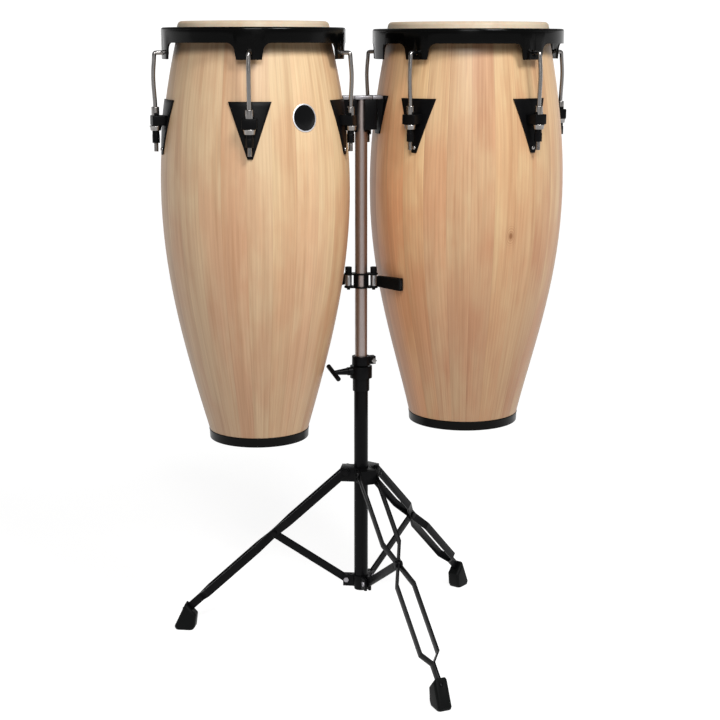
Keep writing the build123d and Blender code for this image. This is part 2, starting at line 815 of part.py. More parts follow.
with BuildPart() as hub_screw:
    with BuildSketch(Plane.YZ.offset(tube_r + face_gap)):
        Circle(lock_screw_d / 2)
    extrude(amount=lock_knob_reach)
    with BuildSketch(Plane.YZ.offset(lock_knob_reach)):
        RegularPolygon(lock_knob_d / 2, 6)
    extrude(amount=lock_knob_l)
save("hub_screw", hub_screw.part, turned(screw_turn) * Location((0, 0, hub_mid)))

with BuildPart() as brace_yoke:
    with Locations((0, 0, yoke_z + yoke_h / 2)):
        Cylinder(yoke_r, yoke_h)
    for i in range(leg_count):
        with BuildSketch(Plane.XZ.rotated((0, 0, front_leg_turn + i * 360 / leg_count))):
            with Locations((yoke_reach / 2, yoke_z + yoke_h / 2)):
                Rectangle(yoke_reach, yoke_h)
        extrude(amount=yoke_w / 2, both=True)
    with Locations((0, 0, yoke_z + yoke_h / 2)):
        Cylinder(tube_r + run_gap, yoke_h, mode=Mode.SUBTRACT)
    for i in range(leg_count):
        spin = Location((0, 0, 0), (0, 0, front_leg_turn + i * 360 / leg_count))
        with Locations(spin * Location((yoke_reach / 2 + yoke_r + 1, 0, yoke_z + yoke_h / 2))):
            Box(yoke_reach, brace_thick + 2 * face_gap, 2 * yoke_h, mode=Mode.SUBTRACT)
        with Locations(spin * Location((pivot_r, 0, brace_pivot_z), (90, 0, 0))):
            Cylinder(brace_pin_d / 2, 2 * yoke_w, mode=Mode.SUBTRACT)
save("brace_yoke", brace_yoke.part)
save("yoke_pins", pivot_pins(pivot_r, brace_pivot_z, brace_pin_d, yoke_w, pin_head_d - 2))

# Leg in its own frame: +X along the leg from its pivot, +Y across, strips on edge.
pinch_in = brace_thick / 2 + face_gap
spread_in = strip_spread - strip_thick
close_l = pinch_l - pinch_flat - pinch_run
open_l = pinch_l + pinch_flat + pinch_run
join_l = leg_l - join_end
leg_points = (
    (-strip_w / 2, strip_in),
    (close_l, strip_in),
    (pinch_l - pinch_flat, pinch_in),
    (pinch_l + pinch_flat, pinch_in),
    (open_l, spread_in),
    (join_l - join_run, spread_in),
    (join_l, 0),
    (leg_l, 0),
)


def make_strip():
    """One bent strip of a leg, with a rounded eye at the hub."""
    with BuildPart() as strip:
        with BuildSketch():
            with BuildLine():
                Polyline(*leg_points)
                offset(amount=strip_thick, side=Side.LEFT)
            make_face()
        extrude(amount=strip_w / 2, both=True)
        end = strip.faces().sort_by(Axis.X)[0]
        fillet(end.edges().filter_by(Axis.Y), strip_w / 2 - 0.1)
        for x, d in ((0, leg_pin_d + 2 * run_gap), (pinch_l, rivet_d)):
            with Locations(Location((x, lug_w / 2, 0), (90, 0, 0))):
                Cylinder(d / 2, lug_w, mode=Mode.SUBTRACT)
    return strip.part


def make_rivet():
    """Headed stub in one strip at the pinch."""
    with BuildPart() as rivet:
        with BuildSketch(Plane.XZ.offset(-pinch_in)):
            with Locations((pinch_l, 0)):
                Circle(rivet_d / 2)
        extrude(amount=-strip_thick)
        with BuildSketch(Plane.XZ.offset(-pinch_in - strip_thick)):
            with Locations((pinch_l, 0)):
                Circle(rivet_d)
        extrude(amount=-pin_head_h)
    return rivet.part


def make_foot():
    """Rubber boot in the leg's upright plane, flat on the floor, with a pocket for the strips."""
    slope = radians(leg_slope)
    top_x, top_z = leg_end_x - foot_lap * cos(slope), leg_end_z + foot_lap * sin(slope)
    side = strip_w / 2 + foot_wall
    with BuildPart() as foot:
        with BuildSketch(Plane.XZ):
            with BuildLine():
                Polyline(
                    (foot_tip - foot_toe - foot_l, 0),
                    (foot_tip - foot_toe, 0),
                    (foot_tip, foot_round),
                    (top_x + side * sin(slope), top_z + side * cos(slope)),
                    (top_x - side * sin(slope), top_z - side * cos(slope)),
                    (foot_heel, foot_heel_h),
                    (foot_heel + foot_toe, foot_round),
                    close=True,
                )
            make_face()
        extrude(amount=foot_w / 2, both=True)
        sides = foot.edges().filter_by(GeomType.LINE).filter_by(
            lambda e: abs(abs(e.center().Y) - foot_w / 2) < 0.01 and e.center().Z > 1
        )
        fillet(sides, foot_round)
        with Locations(Location((pivot_r, 0, hub_pivot_z), (0, leg_slope, 0)) * Location((leg_l / 2, 0, 0))):
            Box(leg_l, 2 * strip_thick, strip_w, mode=Mode.SUBTRACT)
    return foot.part


strip = make_strip()
rivet = make_rivet()
foot = make_foot()
pinch_x = pivot_r + pinch_l * cos(radians(leg_slope))
pinch_z = hub_pivot_z - pinch_l * sin(radians(leg_slope))
brace_l = hypot(pinch_x - pivot_r, pinch_z - brace_pivot_z)
brace_slope = degrees(atan2(pinch_z - brace_pivot_z, pinch_x - pivot_r))
with BuildPart() as brace:
    with BuildSketch(Plane.XZ):
        with Locations((brace_l / 2, 0)):
            SlotCenterToCenter(brace_l, strip_w)
        Circle(brace_pin_d / 2 + run_gap, mode=Mode.SUBTRACT)
    extrude(amount=brace_thick / 2, both=True)

for name, turn in (("front", front_leg_turn), ("right", right_leg_turn), ("left", left_leg_turn)):
    hip = turned(turn) * Location((pivot_r, 0, hub_pivot_z), (0, leg_slope, 0))
    heel = turned(turn) * Location((pivot_r, 0, brace_pivot_z), (0, -brace_slope, 0))
    save(f"{name}_leg", Compound([strip, strip.mirror(Plane.XZ), rivet, rivet.mirror(Plane.XZ)]), hip)
    save(f"{name}_foot", foot, turned(turn))
    save(f"{name}_brace", brace.part, heel)
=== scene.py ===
"""Two congas on a double stand: the visible pieces, finishes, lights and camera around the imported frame."""

import json
from math import atan2, cos, hypot, pi, radians, sin

import bpy
import numpy as np
from mathutils import Matrix, Vector

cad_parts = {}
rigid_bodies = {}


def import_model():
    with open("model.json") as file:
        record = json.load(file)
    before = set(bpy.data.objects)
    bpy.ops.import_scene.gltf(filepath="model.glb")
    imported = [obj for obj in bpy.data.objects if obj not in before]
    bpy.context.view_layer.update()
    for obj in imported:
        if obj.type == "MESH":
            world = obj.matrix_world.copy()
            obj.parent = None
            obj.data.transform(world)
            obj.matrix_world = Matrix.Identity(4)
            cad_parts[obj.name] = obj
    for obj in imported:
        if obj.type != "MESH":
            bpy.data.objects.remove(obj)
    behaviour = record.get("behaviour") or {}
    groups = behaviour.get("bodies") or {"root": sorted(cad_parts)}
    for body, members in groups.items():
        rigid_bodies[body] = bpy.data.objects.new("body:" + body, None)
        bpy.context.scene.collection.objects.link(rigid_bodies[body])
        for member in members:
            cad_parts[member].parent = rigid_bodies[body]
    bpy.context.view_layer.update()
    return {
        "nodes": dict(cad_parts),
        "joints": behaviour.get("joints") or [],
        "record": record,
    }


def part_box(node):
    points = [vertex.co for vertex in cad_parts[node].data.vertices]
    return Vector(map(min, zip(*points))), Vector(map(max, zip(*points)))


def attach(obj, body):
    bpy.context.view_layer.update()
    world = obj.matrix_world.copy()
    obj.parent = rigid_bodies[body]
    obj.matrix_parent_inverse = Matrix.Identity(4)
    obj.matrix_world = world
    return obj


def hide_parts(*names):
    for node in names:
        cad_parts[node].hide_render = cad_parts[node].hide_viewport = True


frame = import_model()
joints = {j["name"]: j for j in frame["joints"]}
post_axis = Vector((*joints["post_swivel"]["pos_m"][:2], 0.0))
MM = 0.001

# Shells: outer radii in mm from the foot ring up to the bearing edge, and their heights above the shell's bottom.
SHELL_RADII = {
    "left": (88.0, 126.2, 153.3, 162.4, 149.5, 125.5),
    "right": (100.3, 136.6, 165.0, 173.8, 161.0, 140.0),
}
SHELL_HEIGHTS = (13.0, 157.0, 300.0, 442.0, 592.0, 709.0)
SHELL_WALL, SHELL_EDGE = 11.0 * MM, 6.0 * MM
# Head and rim, with depths measured down from the rim's top.
SKIN = 2.2 * MM
HOOP_DEPTH, HOOP_H, HOOP_W = 14.0 * MM, 8.0 * MM, 7.5 * MM
HEAD_BEND = 7.5 * MM
RIM_CLEAR, RIM_H = 1.5 * MM, 25.2 * MM
# Tension rods and lugs, with drops measured down from the playing surface.
ROD_R = 4.0 * MM
HOOK_DROP, HOOK_IN = 51.5 * MM, 9.0 * MM
THREAD_PITCH, THREAD_TURNS = 1.25 * MM, 14
BLOCK_TOP_DROP = 154.0 * MM
BLOCK_W, BLOCK_H, BLOCK_PAST_ROD = 24.8 * MM, 16.9 * MM, 7.0 * MM
FERRULE_H = 14.0 * MM
PLATE_TOP_DROP = 128.4 * MM
PLATE_W, PLATE_TIP_W, PLATE_H, PLATE_T = 69.7 * MM, 9.0 * MM, 91.3 * MM, 2.5 * MM
SCREW_ABOVE_TIP = 9.0 * MM
NUT_R, NUT_COLLAR_R, NUT_FOOT_R = 6.8 * MM, 5.9 * MM, 5.0 * MM
CUP_LOW_R, CUP_TOP_R, CUP_LIP = 8.8 * MM, 10.5 * MM, 0.9 * MM
# Badge: its bearing on the left drum in degrees, its height above the floor and its size.
BADGE_TURN, BADGE_Z, BADGE_W, BADGE_H = -54.2, 974.0 * MM, 43.0 * MM, 43.0 * MM
# Hanger lips, on the line through both drums and the post, and the plating on them.
LINE_TURN = 19.0
TONGUE_IN, TONGUE_W, LIP_Z, LIP_T = 16.5 * MM, 30.0 * MM, 997.3 * MM, 6.0 * MM
SADDLE_SKIN = 0.25 * MM
# Stabiliser straps: the length of an end, and how far it is drawn back into its rubber pad.
STRAP_TIP, STRAP_SUNK = 3.2 * MM, 2.0 * MM


# =====================================================================================
# Modelling tools
# =====================================================================================
def deselect():
    """Leave edit mode with nothing selected."""
    if bpy.context.object and bpy.context.object.mode != "OBJECT":
        bpy.ops.object.mode_set(mode="OBJECT")
    bpy.ops.object.select_all(action="DESELECT")


def pick(obj):
    """Make one object the selected and active one."""
    deselect()
    obj.select_set(True)
    bpy.context.view_layer.objects.active = obj


def settle(obj):
    """Put the object's place into its mesh."""
    pick(obj)
    bpy.ops.object.transform_apply(location=True, rotation=True, scale=True)


def place(obj, where):
    """Move a piece modelled at the origin to its place."""
    obj.matrix_world = where @ obj.matrix_world
    bpy.context.view_layer.update()
    settle(obj)
    return obj


def modify(obj, kind, **values):
    """Add a modifier and apply it."""
    pick(obj)
    modifier = obj.modifiers.new(kind.title(), kind)
    for key, value in values.items():
        setattr(modifier, key, value)
    bpy.ops.object.modifier_apply(modifier=modifier.name)
    return obj


def ease(obj, width, segments=2, angle=32):
    """Round the sharp edges over."""
    return modify(
        obj, "BEVEL", width=width, segments=segments, limit_method="ANGLE", angle_limit=radians(angle),
        use_clamp_overlap=True,
    )


def smooth(obj, angle=34):
    """Shade smooth, with edges sharper than the angle kept."""
    pick(obj)
    bpy.ops.object.shade_smooth_by_angle(angle=radians(angle))
    return obj


def join(pieces):
    """One object from several."""
    deselect()
    for piece in pieces:
        piece.select_set(True)
    bpy.context.view_layer.objects.active = pieces[0]
    bpy.ops.object.join()
    return pieces[0]


def copy_of(obj):
    """A copy with its own mesh."""
    pick(obj)
    bpy.ops.object.duplicate(linked=False)
    return bpy.context.object


def drop(obj):
    """Delete a pattern piece once its copies are made."""
    pick(obj)
    bpy.ops.object.delete()


def trace(points):
    """A line of vertices in the XZ plane, drawn by extruding one vertex from point to point."""
    deselect()
    (x, z), rest = points[0], points[1:]
    bpy.ops.mesh.primitive_plane_add(size=MM, location=(x, 0, z))
    bpy.ops.object.mode_set(mode="EDIT")
    bpy.ops.mesh.merge(type="CENTER")
    for next_x, next_z in rest:
        bpy.ops.mesh.extrude_region_move(TRANSFORM_OT_translate={"value": (next_x - x, 0, next_z - z)})
        x, z = next_x, next_z
    bpy.ops.object.mode_set(mode="OBJECT")
    return bpy.context.object


def close_up():
    """Merge doubled vertices, point the faces outwards and leave edit mode."""
    bpy.ops.mesh.select_all(action="SELECT")
    bpy.ops.mesh.remove_doubles(threshold=MM * 0.005)
    bpy.ops.mesh.normals_make_consistent(inside=False)
    bpy.ops.object.mode_set(mode="OBJECT")


def spun(points, steps=96, closed=True):
    """A profile of (radius, height) points spun about +Z."""
    obj = trace(list(points) + ([points[0]] if closed else []))
    bpy.ops.object.mode_set(mode="EDIT")
    bpy.ops.mesh.select_all(action="SELECT")
    bpy.ops.mesh.spin(steps=steps, angle=2 * pi, center=(0, 0, 0), axis=(0, 0, 1))
    close_up()
    settle(obj)
    return obj


def block(size, centre=(0, 0, 0), bevel=0.6 * MM, segments=3):
    """A box with rounded edges."""
    deselect()
    bpy.ops.mesh.primitive_cube_add(size=1, location=centre, scale=size)
    obj = bpy.context.object
    settle(obj)
    return ease(obj, bevel, segments)


def prism(sides, radius, height, bevel=0.5 * MM, centre=(0, 0, 0), segments=2):
    """An upright cylinder or hexagon with rounded rims."""
    deselect()
    bpy.ops.mesh.primitive_cylinder_add(vertices=sides, radius=radius, depth=height, location=centre)
    obj = bpy.context.object
    settle(obj)
    return ease(obj, bevel, segments, 50)


def wire(points, radius, sides=6):
    """A round bar along a smooth line."""
    deselect()
    bpy.ops.curve.primitive_nurbs_path_add()
    obj = bpy.context.object
    line = obj.data.splines[0]
    line.points.add(len(points) - len(line.points))
    for point, place_at in zip(line.points, points):
        point.co = (*place_at, 1)
    line.order_u = 3
    line.use_endpoint_u = True
    line.resolution_u = 8
    obj.data.bevel_depth = radius
    obj.data.bevel_resolution = sides
    obj.data.use_fill_caps = True
    bpy.ops.object.convert(target="MESH")
    bpy.ops.object.mode_set(mode="EDIT")
    close_up()
    settle(obj)
    return obj


def arc(centre, radius, start, end, steps=6):
    """Points of an arc, angles in degrees."""
    turn = [radians(start + (end - start) * i / steps) for i in range(steps + 1)]
    return [(centre[0] + radius * cos(a), centre[1] + radius * sin(a)) for a in turn]


def eased_node(node, width, segments=2, angle=32):
    """The CAD solid with its sharp edges rounded over."""
    piece = copy_of(frame["nodes"][node])
    for key in list(piece.keys()):
        del piece[key]
    bpy.ops.object.parent_clear(type="CLEAR")
    bpy.ops.mesh.customdata_custom_splitnormals_clear()
    bpy.ops.object.mode_set(mode="EDIT")
    bpy.ops.mesh.select_all(action="SELECT")
    bpy.ops.mesh.remove_doubles(threshold=MM * 0.01)
    bpy.ops.mesh.dissolve_limited(angle_limit=radians(0.4))
    bpy.ops.object.mode_set(mode="OBJECT")
    ease(piece, width, segments, angle)
    return smooth(piece, 40)


def show(obj, name, body, material, slot, *nodes):
    """Name a finished piece, give it its finish and hang it on its body."""
    obj.name = name
    obj.data.name = name
    obj.data.materials.clear()
    obj.data.materials.append(material)
    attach(obj, body)
    if nodes:
        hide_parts(*nodes)
    return obj


def refinish(material, *nodes):
    """Give CAD nodes that keep their shape a finish."""
    for node in nodes:
        mesh = frame["nodes"][node].data
        mesh.materials.clear()
        mesh.materials.append(material)


def body_of(node):
    """The moving body that carries a CAD node."""
    return next(b for b, members in frame["record"]["behaviour"]["bodies"].items() if node in members)


# =====================================================================================
# Finishes
# =====================================================================================
FLOAT, VECTOR, COLOUR = "NodeSocketFloat", "NodeSocketVector", "NodeSocketColor"
SURFACE = [("Color", COLOUR), ("Height", FLOAT), ("Roughness", FLOAT)]


class Tree:
    """Short ways to wire a node tree."""

    def __init__(self, tree):
        self.tree = tree

    def add(self, kind, sockets=None, **settings):
        """A node with its settings and what goes into its sockets."""
        node = self.tree.nodes.new("ShaderNode" + kind)
        for key, value in settings.items():
            setattr(node, key, value)
        for key, value in (sockets or {}).items():
            self.feed(node, key, value)
        return node

    def feed(self, node, key, value):
        """Link a socket or node to an input, or set the input's own value."""
        if isinstance(value, bpy.types.NodeSocket):
            self.tree.links.new(value, node.inputs[key])
        elif isinstance(value, bpy.types.Node):
            self.tree.links.new(value.outputs[0], node.inputs[key])
        else:
            node.inputs[key].default_value = value

    def sum(self, operation, *values, clamp=False):
        """One step of arithmetic."""
        return self.add("Math", dict(enumerate(values)), operation=operation, use_clamp=clamp).outputs[0]

    def vector(self, operation, *values):
        """One step of arithmetic on places or colours."""
        return self.add("VectorMath", dict(enumerate(values)), operation=operation).outputs[0]

    def noise(self, vector, scale, detail=3.0, rough=0.5, distortion=0.0):
        inputs = {"Vector": vector, "Scale": scale, "Detail": detail, "Roughness": rough, "Distortion": distortion}
        return self.add("TexNoise", inputs).outputs["Fac"]

    def spread(self, value, low, high, to_low=0.0, to_high=1.0):
        """A soft step from one value to another."""
        inputs = {0: value, 1: low, 2: high, 3: to_low, 4: to_high}
        return self.add("MapRange", inputs, interpolation_type="SMOOTHSTEP").outputs[0]

    def blend(self, factor, first, second):
        """One colour passing into another."""
        node = self.add("Mix", data_type="RGBA")
        self.feed(node, 0, factor)
        self.feed(node, 6, first)
        self.feed(node, 7, second)
        return node.outputs[2]

    def join(self, x, y, z):
        """A place from its three values."""
        return self.add("CombineXYZ", {0: x, 1: y, 2: z}).outputs[0]

    def reach(self, x, y):
        """Distance from the point where both values are nought."""
        return self.sum("SQRT", self.sum("ADD", self.sum("MULTIPLY", x, x), self.sum("MULTIPLY", y, y)))


def rgb(red, green, blue):
    """Linear colour from screen values of 0 to 255."""
    def line(v):
        v /= 255
        return v / 12.92 if v <= 0.04045 else ((v + 0.055) / 1.055) ** 2.4
    return (line(red), line(green), line(blue), 1.0)


def new_group(name, inputs, outputs):
    """A node group with named sockets, its Tree, and its input and output nodes."""
    group = bpy.data.node_groups.new(name, "ShaderNodeTree")
    for label, kind in inputs:
        group.interface.new_socket(name=label, in_out="INPUT", socket_type=kind)
    for label, kind in outputs:
        group.interface.new_socket(name=label, in_out="OUTPUT", socket_type=kind)
    source = group.nodes.new("NodeGroupInput")
    sink = group.nodes.new("NodeGroupOutput")
    return group, Tree(group), source.outputs, sink


def new_material(name, **settings):
    """A material, its Tree, its shader and its object coordinates."""
    material = bpy.data.materials.new(name)
    material.use_nodes = True
    tree = Tree(material.node_tree)
    shader = material.node_tree.nodes["Principled BSDF"]
    for key, value in settings.items():
        shader.inputs[key.replace("_", " ")].default_value = value
    place_at = tree.add("TexCoord").outputs["Object"]
    return material, tree, shader, place_at


def stave_place_group():
    """Which stave a point lies on, how far across it and how high."""
    group, t, take, sink = new_group(
        "stave_place",
        [("Place", VECTOR), ("Axis", VECTOR), ("Staves", FLOAT), ("Turn", FLOAT)],
        [("Index", FLOAT), ("Across", FLOAT), ("Height", FLOAT), ("Share", FLOAT)],
    )
    split = t.add("SeparateXYZ", {0: t.vector("SUBTRACT", take["Place"], take["Axis"])}).outputs
    wind = t.sum("DIVIDE", t.sum("ARCTAN2", split[1], split[0]), 2 * pi)
    wind = t.sum("FRACT", t.sum("ADD", t.sum("SUBTRACT", wind, take["Turn"]), 2.0))
    row = t.sum("MULTIPLY", wind, take["Staves"])
    index = t.sum("FLOOR", row)
    t.feed(sink, "Index", index)
    t.feed(sink, "Across", t.sum("SUBTRACT", t.sum("SUBTRACT", row, index), 0.5))
    t.feed(sink, "Height", split[2])
    t.feed(sink, "Share", t.sum("DIVIDE", t.sum("ADD", index, 0.5), take["Staves"]))
    return group


# Grain of the staves. Lengths are in metres, and noise scales are counts in a metre.
BOARD_W, BOARD_SHIFT = 0.042, 9.0
RING_GAP, RING_DRIFT, RING_SHARE = 0.0068, 0.030, 0.14
PITH_SPREAD, PITH_HEIGHT = 0.075, 0.75
DRIFT_SCALE, CLOUD_SCALE, STREAK_SCALE, VEIN_SCALE, FIBRE_SCALE, PORE_SCALE = 11.0, 13.0, 75.0, 240.0, 950.0, 1500.0
STREAK_SHARE = 0.36
PINK_HUE, YELLOW_HUE = (1.02, 0.962, 1.0, 1.0), (1.01, 0.992, 0.92, 1.0)
KNOT_PIP, KNOT_HALO, KNOT_WAVES = (0.0030, 0.0062), (0.004, 0.016), 2400.0
JOINT_LINE = (0.484, 0.499)
# Painted shade towards the foot: the height it fades over and its darkest tone.
FOOT_SHADE_RISE, FOOT_SHADE_TONE = 0.56, 0.70
# Painted shadow in a band under the rim: its depths below the rim and its tone.
RIM_SHADOW_BAND, RIM_SHADOW_TONE = (0.008, 0.024), 0.42


def stave_group():
    """Flat-sawn pale hardwood staves: colour, height and roughness."""
    group, t, take, sink = new_group(
        "stave_wood",
        [
            ("Place", VECTOR), ("Index", FLOAT), ("Across", FLOAT), ("Height", FLOAT), ("Seed", FLOAT),
            ("Tone", FLOAT), ("Warmth", FLOAT), ("Hue", FLOAT), ("Pale", COLOUR), ("Warm", COLOUR),
            ("Streak", COLOUR), ("Foot", FLOAT), ("Rim", FLOAT), ("Knot", VECTOR),
        ],
        SURFACE,
    )
    height, across = take["Height"], take["Across"]
    # Three chance values for each stave set its piece of the grain.
    chance = t.add("TexWhiteNoise", {"W": t.sum("ADD", take["Index"], take["Seed"])}, noise_dimensions="1D")
    lots = t.add("SeparateColor", {0: chance.outputs["Color"]}).outputs
    width = t.sum("MULTIPLY", across, BOARD_W)
    at = t.sum("ADD", width, t.sum("MULTIPLY", lots[0], BOARD_SHIFT))

    def grain(lot, stretch, *noise):
        """Noise drawn out along the stave."""
        return t.noise(t.join(at, lot, t.sum("MULTIPLY", height, stretch)), *noise)

    # Growth rings: distance from a pith that lies behind the board and drifts slowly along it.
    drift = grain(t.sum("MULTIPLY", lots[1], 5.0), 0.16, DRIFT_SCALE, 2.0)
    wander = t.sum("MULTIPLY", t.sum("SUBTRACT", drift, 0.5), RING_DRIFT)
    lean = t.sum("MULTIPLY_ADD", t.sum("SUBTRACT", lots[2], 0.5), PITH_SPREAD, wander)
    slope = t.sum("MULTIPLY_ADD", lots[1], 0.030, 0.006)
    depth = t.sum("MULTIPLY_ADD", t.sum("SUBTRACT", height, PITH_HEIGHT), slope, t.sum("MULTIPLY", wander, 0.5))
    radius = t.reach(t.sum("SUBTRACT", width, lean), depth)
    rings = t.sum("FRACT", t.sum("DIVIDE", t.sum("MULTIPLY_ADD", wander, 0.4, radius), RING_GAP))
    late = t.sum("SUBTRACT", t.spread(rings, 0.10, 0.92), t.spread(rings, 0.92, 1.0))
    # Fibres, veins, streaks, pores and broad soft clouds.
    fibre = grain(lots[0], 0.012, FIBRE_SCALE, 4.0, 0.6)
    vein = grain(lots[2], 0.020, VEIN_SCALE, 3.0, 0.55)
    streak = t.spread(grain(lots[1], 0.05, STREAK_SCALE, 3.0, 0.55, 0.4), 0.44, 0.72)
    pore = t.spread(grain(lots[1], 0.05, PORE_SCALE, 1.0), 0.66, 0.74)
    cloud = grain(lots[1], 0.45, CLOUD_SCALE, 3.0, 0.55)
    # Colour: pale to warm, warmer low down, then the stave's own hue, its streaks and its late wood.
    low = t.spread(height, 0.62, 1.05, 0.32, -0.20)
    warmth = t.sum("ADD", take["Warmth"], t.sum("ADD", low, t.spread(cloud, 0.36, 0.64, -0.30, 0.34)), clamp=True)
    base = t.blend(warmth, take["Pale"], take["Warm"])
    base = t.blend(t.sum("MULTIPLY", streak, STREAK_SHARE), base, take["Streak"])
    base = t.vector("MULTIPLY", base, t.blend(take["Hue"], PINK_HUE, YELLOW_HUE))
    base = t.blend(t.sum("MULTIPLY", late, RING_SHARE), base, take["Streak"])
    # A small knot: dark pip with rings round it.
    off = t.vector("MULTIPLY", t.vector("SUBTRACT", take["Place"], take["Knot"]), (1.0, 1.0, 0.62))
    far = t.add("VectorMath", {0: off}, operation="LENGTH").outputs["Value"]
    pip = t.spread(t.sum("ADD", far, t.sum("MULTIPLY", wander, 0.1)), *KNOT_PIP, 1.0, 0.0)
    waves = t.spread(t.sum("SINE", t.sum("MULTIPLY", far, KNOT_WAVES)), -0.6, 0.9)
    halo = t.sum("MULTIPLY", t.spread(far, *KNOT_HALO, 1.0, 0.0), waves)
    knot = t.sum("MAXIMUM", t.sum("MULTIPLY", pip, 0.82), t.sum("MULTIPLY", halo, 0.42))
    base = t.blend(knot, base, rgb(120, 72, 36))
    # Tone: fibres, veins, pores and the joint to the next stave.
    tone = t.sum("MULTIPLY", t.spread(fibre, 0.3, 0.7, 0.94, 1.04), t.spread(vein, 0.3, 0.7, 0.945, 1.035))
    tone = t.sum("MULTIPLY", tone, take["Tone"])
    tone = t.sum("SUBTRACT", tone, t.sum("MULTIPLY", pore, 0.05))
    joint = t.spread(t.sum("ABSOLUTE", across), *JOINT_LINE)
    tone = t.sum("SUBTRACT", tone, t.sum("MULTIPLY", joint, 0.10))
    # Painted shade: darker towards the foot, and a painted shadow in the band under the rim.
    above_foot = t.sum("SUBTRACT", height, take["Foot"])
    below_rim = t.sum("SUBTRACT", take["Rim"], height)
    tone = t.sum("MULTIPLY", tone, t.spread(above_foot, 0.0, FOOT_SHADE_RISE, FOOT_SHADE_TONE, 1.0))
    tone = t.sum("MULTIPLY", tone, t.spread(below_rim, *RIM_SHADOW_BAND, RIM_SHADOW_TONE, 1.0))
    colour = t.vector("SCALE", base)
    t.feed(colour.node, "Scale", tone)
    t.feed(sink, "Color", colour)
    rise = t.sum("SUBTRACT", t.sum("MULTIPLY", fibre, 0.25), t.sum("MULTIPLY", pore, 0.3))
    t.feed(sink, "Height", t.sum("SUBTRACT", rise, t.sum("MULTIPLY", joint, 0.8)))
    t.feed(sink, "Roughness", t.spread(fibre, 0.2, 0.8, 0.40, 0.52))
    return group


def coat_group():
    """Powder coat, paint or moulding skin: fine pebble, handling marks and dust."""
    group, t, take, sink = new_group(
        "coat_skin",
        [("Place", VECTOR), ("Base", COLOUR), ("Worn", COLOUR), ("Pebble", FLOAT), ("Dull", FLOAT), ("Marks", FLOAT)],
        SURFACE,
    )
    cloud = t.noise(take["Place"], 14.0, 4.0, 0.6)
    rub = t.spread(t.noise(take["Place"], 55.0, 5.0, 0.7), 0.55, 0.85)
    grit = t.noise(take["Place"], take["Pebble"], 2.0, 0.5)
    worn = t.sum("MULTIPLY", t.sum("MULTIPLY", rub, t.spread(cloud, 0.35, 0.7)), take["Marks"])
    t.feed(sink, "Color", t.blend(worn, take["Base"], take["Worn"]))
    t.feed(sink, "Height", grit)
    rough = t.sum("ADD", take["Dull"], t.spread(cloud, 0.3, 0.7, -0.05, 0.05))
    t.feed(sink, "Roughness", t.sum("ADD", rough, t.sum("MULTIPLY", worn, 0.15), clamp=True))
    return group


def metal_group():
    """Plated or drawn metal: cloudiness, fine draw lines and smudges."""
    group, t, take, sink = new_group(
        "bright_metal",
        [("Place", VECTOR), ("Base", COLOUR), ("Tarnish", COLOUR), ("Polish", FLOAT), ("Lines", FLOAT)],
        SURFACE,
    )
    smudge = t.spread(t.noise(take["Place"], 38.0, 5.0, 0.65), 0.4, 0.8)
    long = t.vector("MULTIPLY", take["Place"], (1.0, 1.0, 0.02))
    draw = t.noise(long, 1600.0, 2.0)
    t.feed(sink, "Color", t.blend(t.sum("MULTIPLY", smudge, 0.35), take["Base"], take["Tarnish"]))
    t.feed(sink, "Height", t.sum("MULTIPLY", draw, take["Lines"]))
    rough = t.sum("ADD", take["Polish"], t.sum("MULTIPLY", smudge, 0.12))
    t.feed(sink, "Roughness", t.sum("MULTIPLY_ADD", draw, 0.05, rough))
    return group


STAVE_PLACE = stave_place_group()
STAVES = stave_group()
COAT = coat_group()
METAL = metal_group()


def dress(tree, shader, group, inputs, bump, distance):
    """Place a shared effect and wire its colour, roughness and bump to the shader."""
    effect = tree.add("Group", node_tree=group)
    for key, value in inputs.items():
        tree.feed(effect, key, value)
    tree.feed(shader, "Base Color", effect.outputs["Color"])
    tree.feed(shader, "Roughness", effect.outputs["Roughness"])
    relief = tree.add("Bump", {"Strength": bump, "Distance": distance, "Height": effect.outputs["Height"]})
    tree.feed(shader, "Normal", relief)


def make_wood(name, drum, look):
    """Lacquered staves of one shell, each with its own tone, warmth and hue."""
    material, tree, shader, place_at = new_material(
        name, Coat_Weight=0.12, Coat_Roughness=0.3, Specular_IOR_Level=0.3,
    )
    staves = look["staves"]
    count = len(staves)
    where = tree.add("Group", node_tree=STAVE_PLACE)
    for key, value in {
        "Place": place_at, "Axis": (*drum.axis.xy, 0), "Staves": float(count), "Turn": look["turn"] / 360,
    }.items():
        tree.feed(where, key, value)
    # One flat step of the ramp for each stave carries its three values as red, green and blue.
    ramp = tree.add("ValToRGB", {"Fac": where.outputs["Share"]})
    steps = ramp.color_ramp
    steps.interpolation = "CONSTANT"
    while len(steps.elements) < count:
        steps.elements.new(0.999)
    for i, values in enumerate(staves):
        steps.elements[i].position = i / count
        steps.elements[i].color = (*values, 1)
    tone, warmth, hue = list(tree.add("SeparateColor", {0: ramp.outputs["Color"]}).outputs)[:3]
    dress(
        tree, shader, STAVES,
        {
            "Place": place_at, "Index": where.outputs["Index"], "Across": where.outputs["Across"],
            "Height": where.outputs["Height"], "Seed": look["seed"], "Tone": tone, "Warmth": warmth, "Hue": hue,
            "Pale": look["pale"], "Warm": look["warm"], "Streak": look["streak"], "Foot": drum.low,
            "Rim": drum.rim_low, "Knot": look["knot"],
        },
        0.30, 0.25 * MM,
    )
    return material


def make_coat(name, base, worn, pebble, dull, marks, bump, specular):
    """A coat, enamel, moulding or rubber."""
    material, tree, shader, place_at = new_material(name, Specular_IOR_Level=specular)
    dress(
        tree, shader, COAT,
        {"Place": place_at, "Base": base, "Worn": worn, "Pebble": pebble, "Dull": dull, "Marks": marks},
        bump, 0.12 * MM,
    )
    return material


def make_metal(name, base, tarnish, polish, lines):
    """A plated metal."""
    material, tree, shader, place_at = new_material(name, Metallic=1.0)
    dress(
        tree, shader, METAL,
        {"Place": place_at, "Base": base, "Tarnish": tarnish, "Polish": polish, "Lines": lines},
        0.2, 0.05 * MM,
    )
    return material


